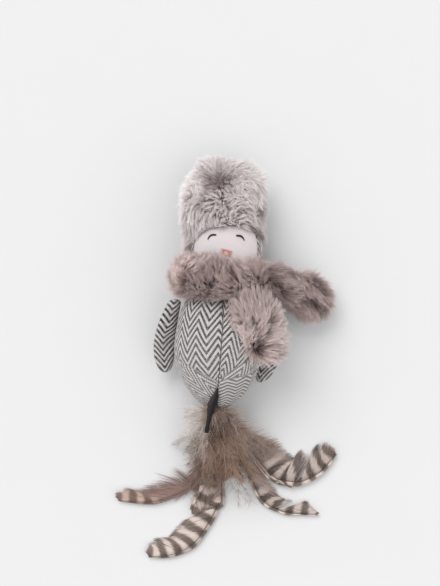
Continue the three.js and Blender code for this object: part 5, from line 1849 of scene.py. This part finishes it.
def plumes(name, plan, seed, radius):
    """Down plumes: soft stems that leave the tail's root in a fan, each with barbs all round it."""
    rng = np.random.default_rng(seed)
    s = np.linspace(0, 1, 4)
    paths, marks = [], {mark: [] for mark in ("along", "tone", "shade", "pale")}
    for (begin, lift), low, high, short, long, under, over, stems, barbs, pale in plan:
        for stem in range(stems):
            share = (stem + rng.uniform(0.1, 0.9)) / stems
            fan = low + (high - low) * share
            reach = rng.uniform(short, long)
            end = rng.uniform(under, over)
            crown = rng.uniform(-2.0, 5.0)
            bend = np.clip(rng.normal() * 0.06, -0.09, 0.09)
            tint_of = rng.normal() * 0.2
            t = 0.06 + 0.94 * rng.random(barbs) ** 0.75
            turn = np.radians(fan) * (1.12 - 0.22 * t) + bend * (2 * t - 1) * 3
            way = np.stack([np.sin(turn), -np.cos(turn), 0 * t], axis=1)
            root = fan_point(fan * 0.8, begin)
            sway = np.stack([np.cos(turn), np.sin(turn)], axis=1) * (bend * 30 * t**2)[:, None]
            flat = root + way[:, :2] * (reach * t)[:, None] + sway
            height = AXIS_Z + lift + (end - AXIS_Z - lift) * t**1.3 + crown * np.sin(np.pi * t)
            feet = np.column_stack([flat, height])
            roll = rng.uniform(0, 2 * math.pi, barbs)
            across = np.stack([np.cos(turn), np.sin(turn), 0 * t], axis=1)
            out = across * np.cos(roll)[:, None] + np.array([0, 0, 0.75]) * np.sin(roll)[:, None]
            open_by = np.radians(rng.uniform(38, 84, barbs) * (1 - 0.5 * t**3))
            full = 0.55 + 0.45 * np.sin(np.pi * np.minimum(t * 1.15, 1) ** 0.8)
            length = rng.uniform(4.2, 8.4, barbs) * full
            first = way * np.cos(open_by)[:, None] + out * np.sin(open_by)[:, None]
            later = way * np.cos(open_by * 0.35)[:, None] + out * np.sin(open_by * 0.35)[:, None]
            loose = 0.3 * rng.normal(size=(barbs, 3))
            middle = feet + (first + loose) * (0.42 * length)[:, None]
            far = middle + (0.5 * first + 0.5 * later + 1.3 * loose) * (0.33 * length)[:, None]
            tip = far + (later + 1.8 * loose) * (0.25 * length)[:, None]
            paths.append(np.stack([feet, middle, far, tip], axis=1))
            spread = np.ones((barbs, 1))
            near_root = bell(t * reach, DOWN_SHADE)[:, None]
            marks["along"].append(spread * s)
            marks["tone"].append(spread * np.clip(0.5 + tint_of + 0.1 * rng.normal(size=(barbs, 1)), 0, 1))
            # The shade mark: partly the down's darker barb feet, partly painted shade near the tail's root
            # and in patches between clumps
            patch = np.clip(1.3 * drift(feet, 3.5, seed)[:, :1], 0, 0.6) * (1 - pale)
            deep = 0.3 * (1 - s) + 0.3 * near_root * (1 - pale) + patch
            marks["shade"].append(spread * np.clip(deep, 0, 1))
            marks["pale"].append(spread * np.clip(pale + 0.12 * rng.normal(size=(barbs, 1)), 0, 1))
    paths = np.concatenate(paths)
    paths[..., 2] = np.maximum(paths[..., 2], FLOOR)
    paths = tab_push(paths)
    radii = radius * rng.uniform(0.7, 1.25, len(paths))[:, None] * np.array(DOWN_TAPER)
    outwards = unit((paths[:, -1] - np.array(DOWN_MIDDLE)) / np.array([18.0, 26.0, 13.0]))
    marks = {mark: np.concatenate(values) for mark, values in marks.items()}
    return strands(name, paths, radii, marks, facing=outwards)


class BIRD_OT_down(bpy.types.Operator):
    """Makes the cloud of down round the tail's root"""

    bl_idname = "bird.down"
    bl_label = "Tail down"

    def execute(self, context):
        finish = down_finish("tail_down")
        for seed, (name, (centre, radii)) in enumerate(DOWN_HEARTS.items()):
            core = down_core(name + "_heart", centre, radii)
            fitted(core, finish, "down", "tail", name)
            cloud = plumes(name + "_barbs", DOWN_PLUMES[name], 131 + seed, DOWN_BARB)
            fitted(cloud, finish, "down", "tail")
        fitted(plumes("down_wisps", WISP_PLUMES, 141, WISP_BARB), finish, "down", "tail")
        return {"FINISHED"}


class BIRD_OT_tab(bpy.types.Operator):
    """Cuts the dark suede strip over the tail, folded along its length"""

    bl_idname = "bird.tab"
    bl_label = "Suede strip"

    def execute(self, context):
        piece, across, down = flat_grid("tail_tab_suede", 12, 96)
        share = (1 - down) / 2
        line = spline(TAB_STATIONS, share)
        half = line[:, 2] * (1 + 0.06 * np.sin(share * 37))
        crest = np.interp(share, [0, 0.25, 0.6, 1], [0.4, 1.0, 0.55, 0.25])
        ridge = TAB_RIDGE * (1 - np.abs(across + 0.15)) * crest
        height = line[:, 3] + ridge - 0.1
        put_points(piece, np.stack([line[:, 0] + across * half, line[:, 1], height], axis=1))
        if normals_of(piece)[:, 2].sum() < 0:
            with Editing(piece):
                bpy.ops.mesh.flip_normals()
        # Painted light and shade: the mark is high on the lit side of the strip's fold and low on its
        # shaded side, and falls along the strip
        shadow = np.interp(share, [0, 0.35, 0.6, 1], [0.8, 1, 0.5, 0.25])
        put_mark(piece.data, "fold", np.clip(0.5 - 2.2 * (across + 0.1), 0, 1) * shadow)
        walled(piece, TAB_THICK * 0.8)
        shaped(piece, "BEVEL", width=0.12 * MM, segments=2, limit_method="ANGLE")
        smooth(piece)
        fitted(piece, suede_finish(), "suede", "tab", "tail_tab")
        return {"FINISHED"}


def node_copy(node, name):
    """A merged copy of a CAD node's mesh, to be shaped further."""
    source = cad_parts[node]
    piece = bpy.data.objects.new(name, source.data.copy())
    piece.data.materials.clear()
    bpy.context.scene.collection.objects.link(piece)
    with Editing(piece):
        bpy.ops.mesh.remove_doubles(threshold=0.005 * MM)
    return piece


def wadding(node, lumps, seed):
    """Polyester filling: the node's form remeshed and pressed into soft lumps within it."""
    piece = node_copy(node, node + "_fill")
    shaped(piece, "REMESH", mode="VOXEL", voxel_size=0.9 * MM)
    points, facing = points_of(piece), normals_of(piece)
    tufts = drift(points, 3.2, seed)[:, 0] + 0.5 * drift(points, 1.3, seed + 1)[:, 0]
    put_points(piece, points - facing * (0.45 + lumps * np.clip(tufts + 0.6, 0, 2))[:, None])
    return smooth(piece)


def pouch_leaf():
    """The catnip pouch: two leaves of cotton sewn flat round the edge and plumped between."""
    piece, x, y = flat_grid("catnip_pouch_cotton", 56, 76)
    hx, hy = POUCH["half"]
    cx, cy, cz = POUCH["centre"]
    full = np.clip((1 - x**4) * (1 - y**4), 0, 1)
    from_seam = 1 - np.maximum(np.abs(x), np.abs(y))
    rim = np.exp(-((from_seam * 12) ** 2))
    pucker = 0.25 * np.sin(30 * np.arctan2(y, x)) * np.exp(-((from_seam * 6) ** 2))
    leaves = 0.25 * drift(np.column_stack([x * hx, y * hy, 0 * x]), 2.2, 151)[:, 0] * full
    swell = POUCH["thick"] * np.sqrt(full) * 0.97 + leaves * 0.6 + pucker * 0.4 * full - 0.1 * rim
    corner = 1 - 0.07 * (x * y) ** 2
    place = np.stack([cx + x * hx * corner, cy + y * hy * corner, cz + 0.12 + swell], axis=1)
    put_points(piece, place)
    mirror = piece.copy()
    mirror.data = piece.data.copy()
    bpy.context.scene.collection.objects.link(mirror)
    under = place.copy()
    under[:, 2] = 2 * cz - under[:, 2]
    put_points(mirror, under)
    whole = joined("catnip_pouch_cotton", [piece, mirror])
    with Editing(whole):
        bpy.ops.mesh.remove_doubles(threshold=0.26 * MM)
        bpy.ops.mesh.normals_make_consistent(inside=False)
    return smooth(whole)


def crinkled_film():
    """Thin plastic film with sharp random creases."""
    piece, x, y = flat_grid("crinkle_film_sheet", 50, 64)
    wide, long = FILM["size"]
    x, y = x * wide / 2, y * long / 2
    place = np.column_stack([x, y, 0 * x])
    rng = np.random.default_rng(161)
    height = np.zeros(len(x))
    for _ in range(FILM["folds"]):
        turn = rng.uniform(0, math.pi)
        run = x * math.cos(turn) + y * math.sin(turn) + 1.2 * drift(place, 9.0, rng.integers(1000))[:, 0]
        width = rng.uniform(3.0, 6.0)
        height += np.abs((run % (2 * width)) - width) / width - 0.5
    height *= FILM["crease"] * 0.75 / np.abs(height).max()
    cx, cy, cz = FILM["centre"]
    put_points(piece, np.stack([cx + x, cy + y, cz + 0.08 + height], axis=1))
    walled(piece, FILM["thick"])
    return piece


class BIRD_OT_inside(bpy.types.Operator):
    """Makes what the bird holds: wadding, the catnip pouch, crinkle film and the rattle"""

    bl_idname = "bird.inside"
    bl_label = "Filling and rattle"

    def execute(self, context):
        fibre = plain_finish("wadding_fibre", "wadding", tint(218, 218, 212), 0.8, 0.4, 0.95)
        for index, node in enumerate(("wadding_front", "wadding_back", "head_wadding", "hat_wadding")):
            piece = wadding(node, 0.5, 171 + 3 * index)
            fitted(piece, fibre, "wadding", "torso", node, soft=0.7)
        pouch = pouch_leaf()
        weave = plain_finish("pouch_cotton", "cotton", tint(188, 172, 138), 0.6, 0.2, 0.9)
        fitted(pouch, weave, "cotton", "torso", "catnip_pouch", soft=0.75)
        film = crinkled_film()
        sheen = plain_finish("crinkle_plastic", "film", tint(190, 196, 202), 3.0, 0.1, 0.28)
        fitted(film, sheen, "film", "torso", "crinkle_film")
        case = plain_finish("rattle_plastic", "case", tint(214, 211, 200), 1.4, 0.05, 0.4)
        bead = plain_finish("pellet_plastic", "pellet", tint(160, 52, 38), 0.9, 0.04, 0.32)
        for node in ("rattle_cup", "rattle_lid"):
            dress(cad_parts[node], case)
        for n in (1, 2, 3):
            dress(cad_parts[f"rattle_pellet_{n}"], bead)
        return {"FINISHED"}


# Lamps: share of the key light's strength, softness, and turns about X and Y in degrees
LAMPS = {"key_lamp": (1.0, 40.0, -34.0, -26.0), "fill_lamp": (0.3, 70.0, 20.0, 40.0)}
SENSOR = 36.0
FLOOR_SIZE = 6.0


class BIRD_OT_stage(bpy.types.Operator):
    """Lays the pale floor and sets the lights and the camera"""

    bl_idname = "bird.stage"
    bl_label = "Floor, lights and camera"

    def execute(self, context):
        scene, look = context.scene, context.scene.bird_stage
        floor = start("studio_floor", bpy.ops.mesh.primitive_plane_add, size=FLOOR_SIZE)
        with Editing(floor):
            bpy.ops.mesh.subdivide(number_cuts=3)
        dress(floor, floor_finish())
        world = bpy.data.worlds.new("studio_air")
        scene.world = world
        world.use_nodes = True
        sky = world.node_tree.nodes["Background"]
        sky.inputs["Color"].default_value = (1.0, 1.0, 1.0, 1.0)
        sky.inputs["Strength"].default_value = look.sky
        for name, (share, soft, tilt, roll) in LAMPS.items():
            lamp = bpy.data.lights.new(name, "SUN")
            lamp.energy = look.key * share
            lamp.angle = math.radians(soft)
            holder = bpy.data.objects.new(name, lamp)
            holder.rotation_euler = (math.radians(tilt), math.radians(roll), 0)
            scene.collection.objects.link(holder)
        lens = bpy.data.cameras.new("studio_camera")
        lens.lens = look.lens
        lens.sensor_width = SENSOR
        lens.sensor_height = SENSOR
        lens.sensor_fit = "VERTICAL"
        lens.clip_start = 0.01
        lens.clip_end = 20.0
        camera = bpy.data.objects.new("studio_camera", lens)
        camera.location = (look.camera_x, look.camera_y, look.camera_height)
        camera.rotation_euler = (0, 0, look.camera_roll)
        scene.collection.objects.link(camera)
        scene.camera = camera
        scene.view_settings.view_transform = "Standard"
        return {"FINISHED"}


class BIRD_PT_panel(bpy.types.Panel):
    """Lists the bird's sizes, colours and makers"""

    bl_idname = "BIRD_PT_panel"
    bl_label = "Plush bird"
    bl_space_type = "VIEW_3D"
    bl_region_type = "UI"
    bl_category = "Plush bird"

    def draw(self, context):
        for group in (context.scene.bird_sizes, context.scene.bird_colours, context.scene.bird_stage):
            box = self.layout.box()
            for name in group.__annotations__:
                box.prop(group, name)
        for maker in MAKERS:
            self.layout.operator(maker.bl_idname)


MAKERS = (
    BIRD_OT_body, BIRD_OT_head, BIRD_OT_hat, BIRD_OT_scarf, BIRD_OT_wings,
    BIRD_OT_tail, BIRD_OT_down, BIRD_OT_tab, BIRD_OT_inside, BIRD_OT_stage,
)
GROUPS = {"bird_sizes": BirdSizes, "bird_colours": BirdColours, "bird_stage": BirdStage}


def register():
    for kind in (*GROUPS.values(), *MAKERS, BIRD_PT_panel):
        bpy.utils.register_class(kind)
    for name, kind in GROUPS.items():
        setattr(bpy.types.Scene, name, bpy.props.PointerProperty(type=kind))


def unregister():
    for name in GROUPS:
        delattr(bpy.types.Scene, name)
    for kind in reversed((*GROUPS.values(), *MAKERS, BIRD_PT_panel)):
        bpy.utils.unregister_class(kind)


def main():
    register()
    bpy.ops.bird.body()
    bpy.ops.bird.head()
    bpy.ops.bird.hat()
    bpy.ops.bird.scarf()
    bpy.ops.bird.wings()
    bpy.ops.bird.tail()
    bpy.ops.bird.down()
    bpy.ops.bird.tab()
    bpy.ops.bird.inside()
    bpy.ops.bird.stage()
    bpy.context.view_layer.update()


if __name__ == "__main__":
    main()
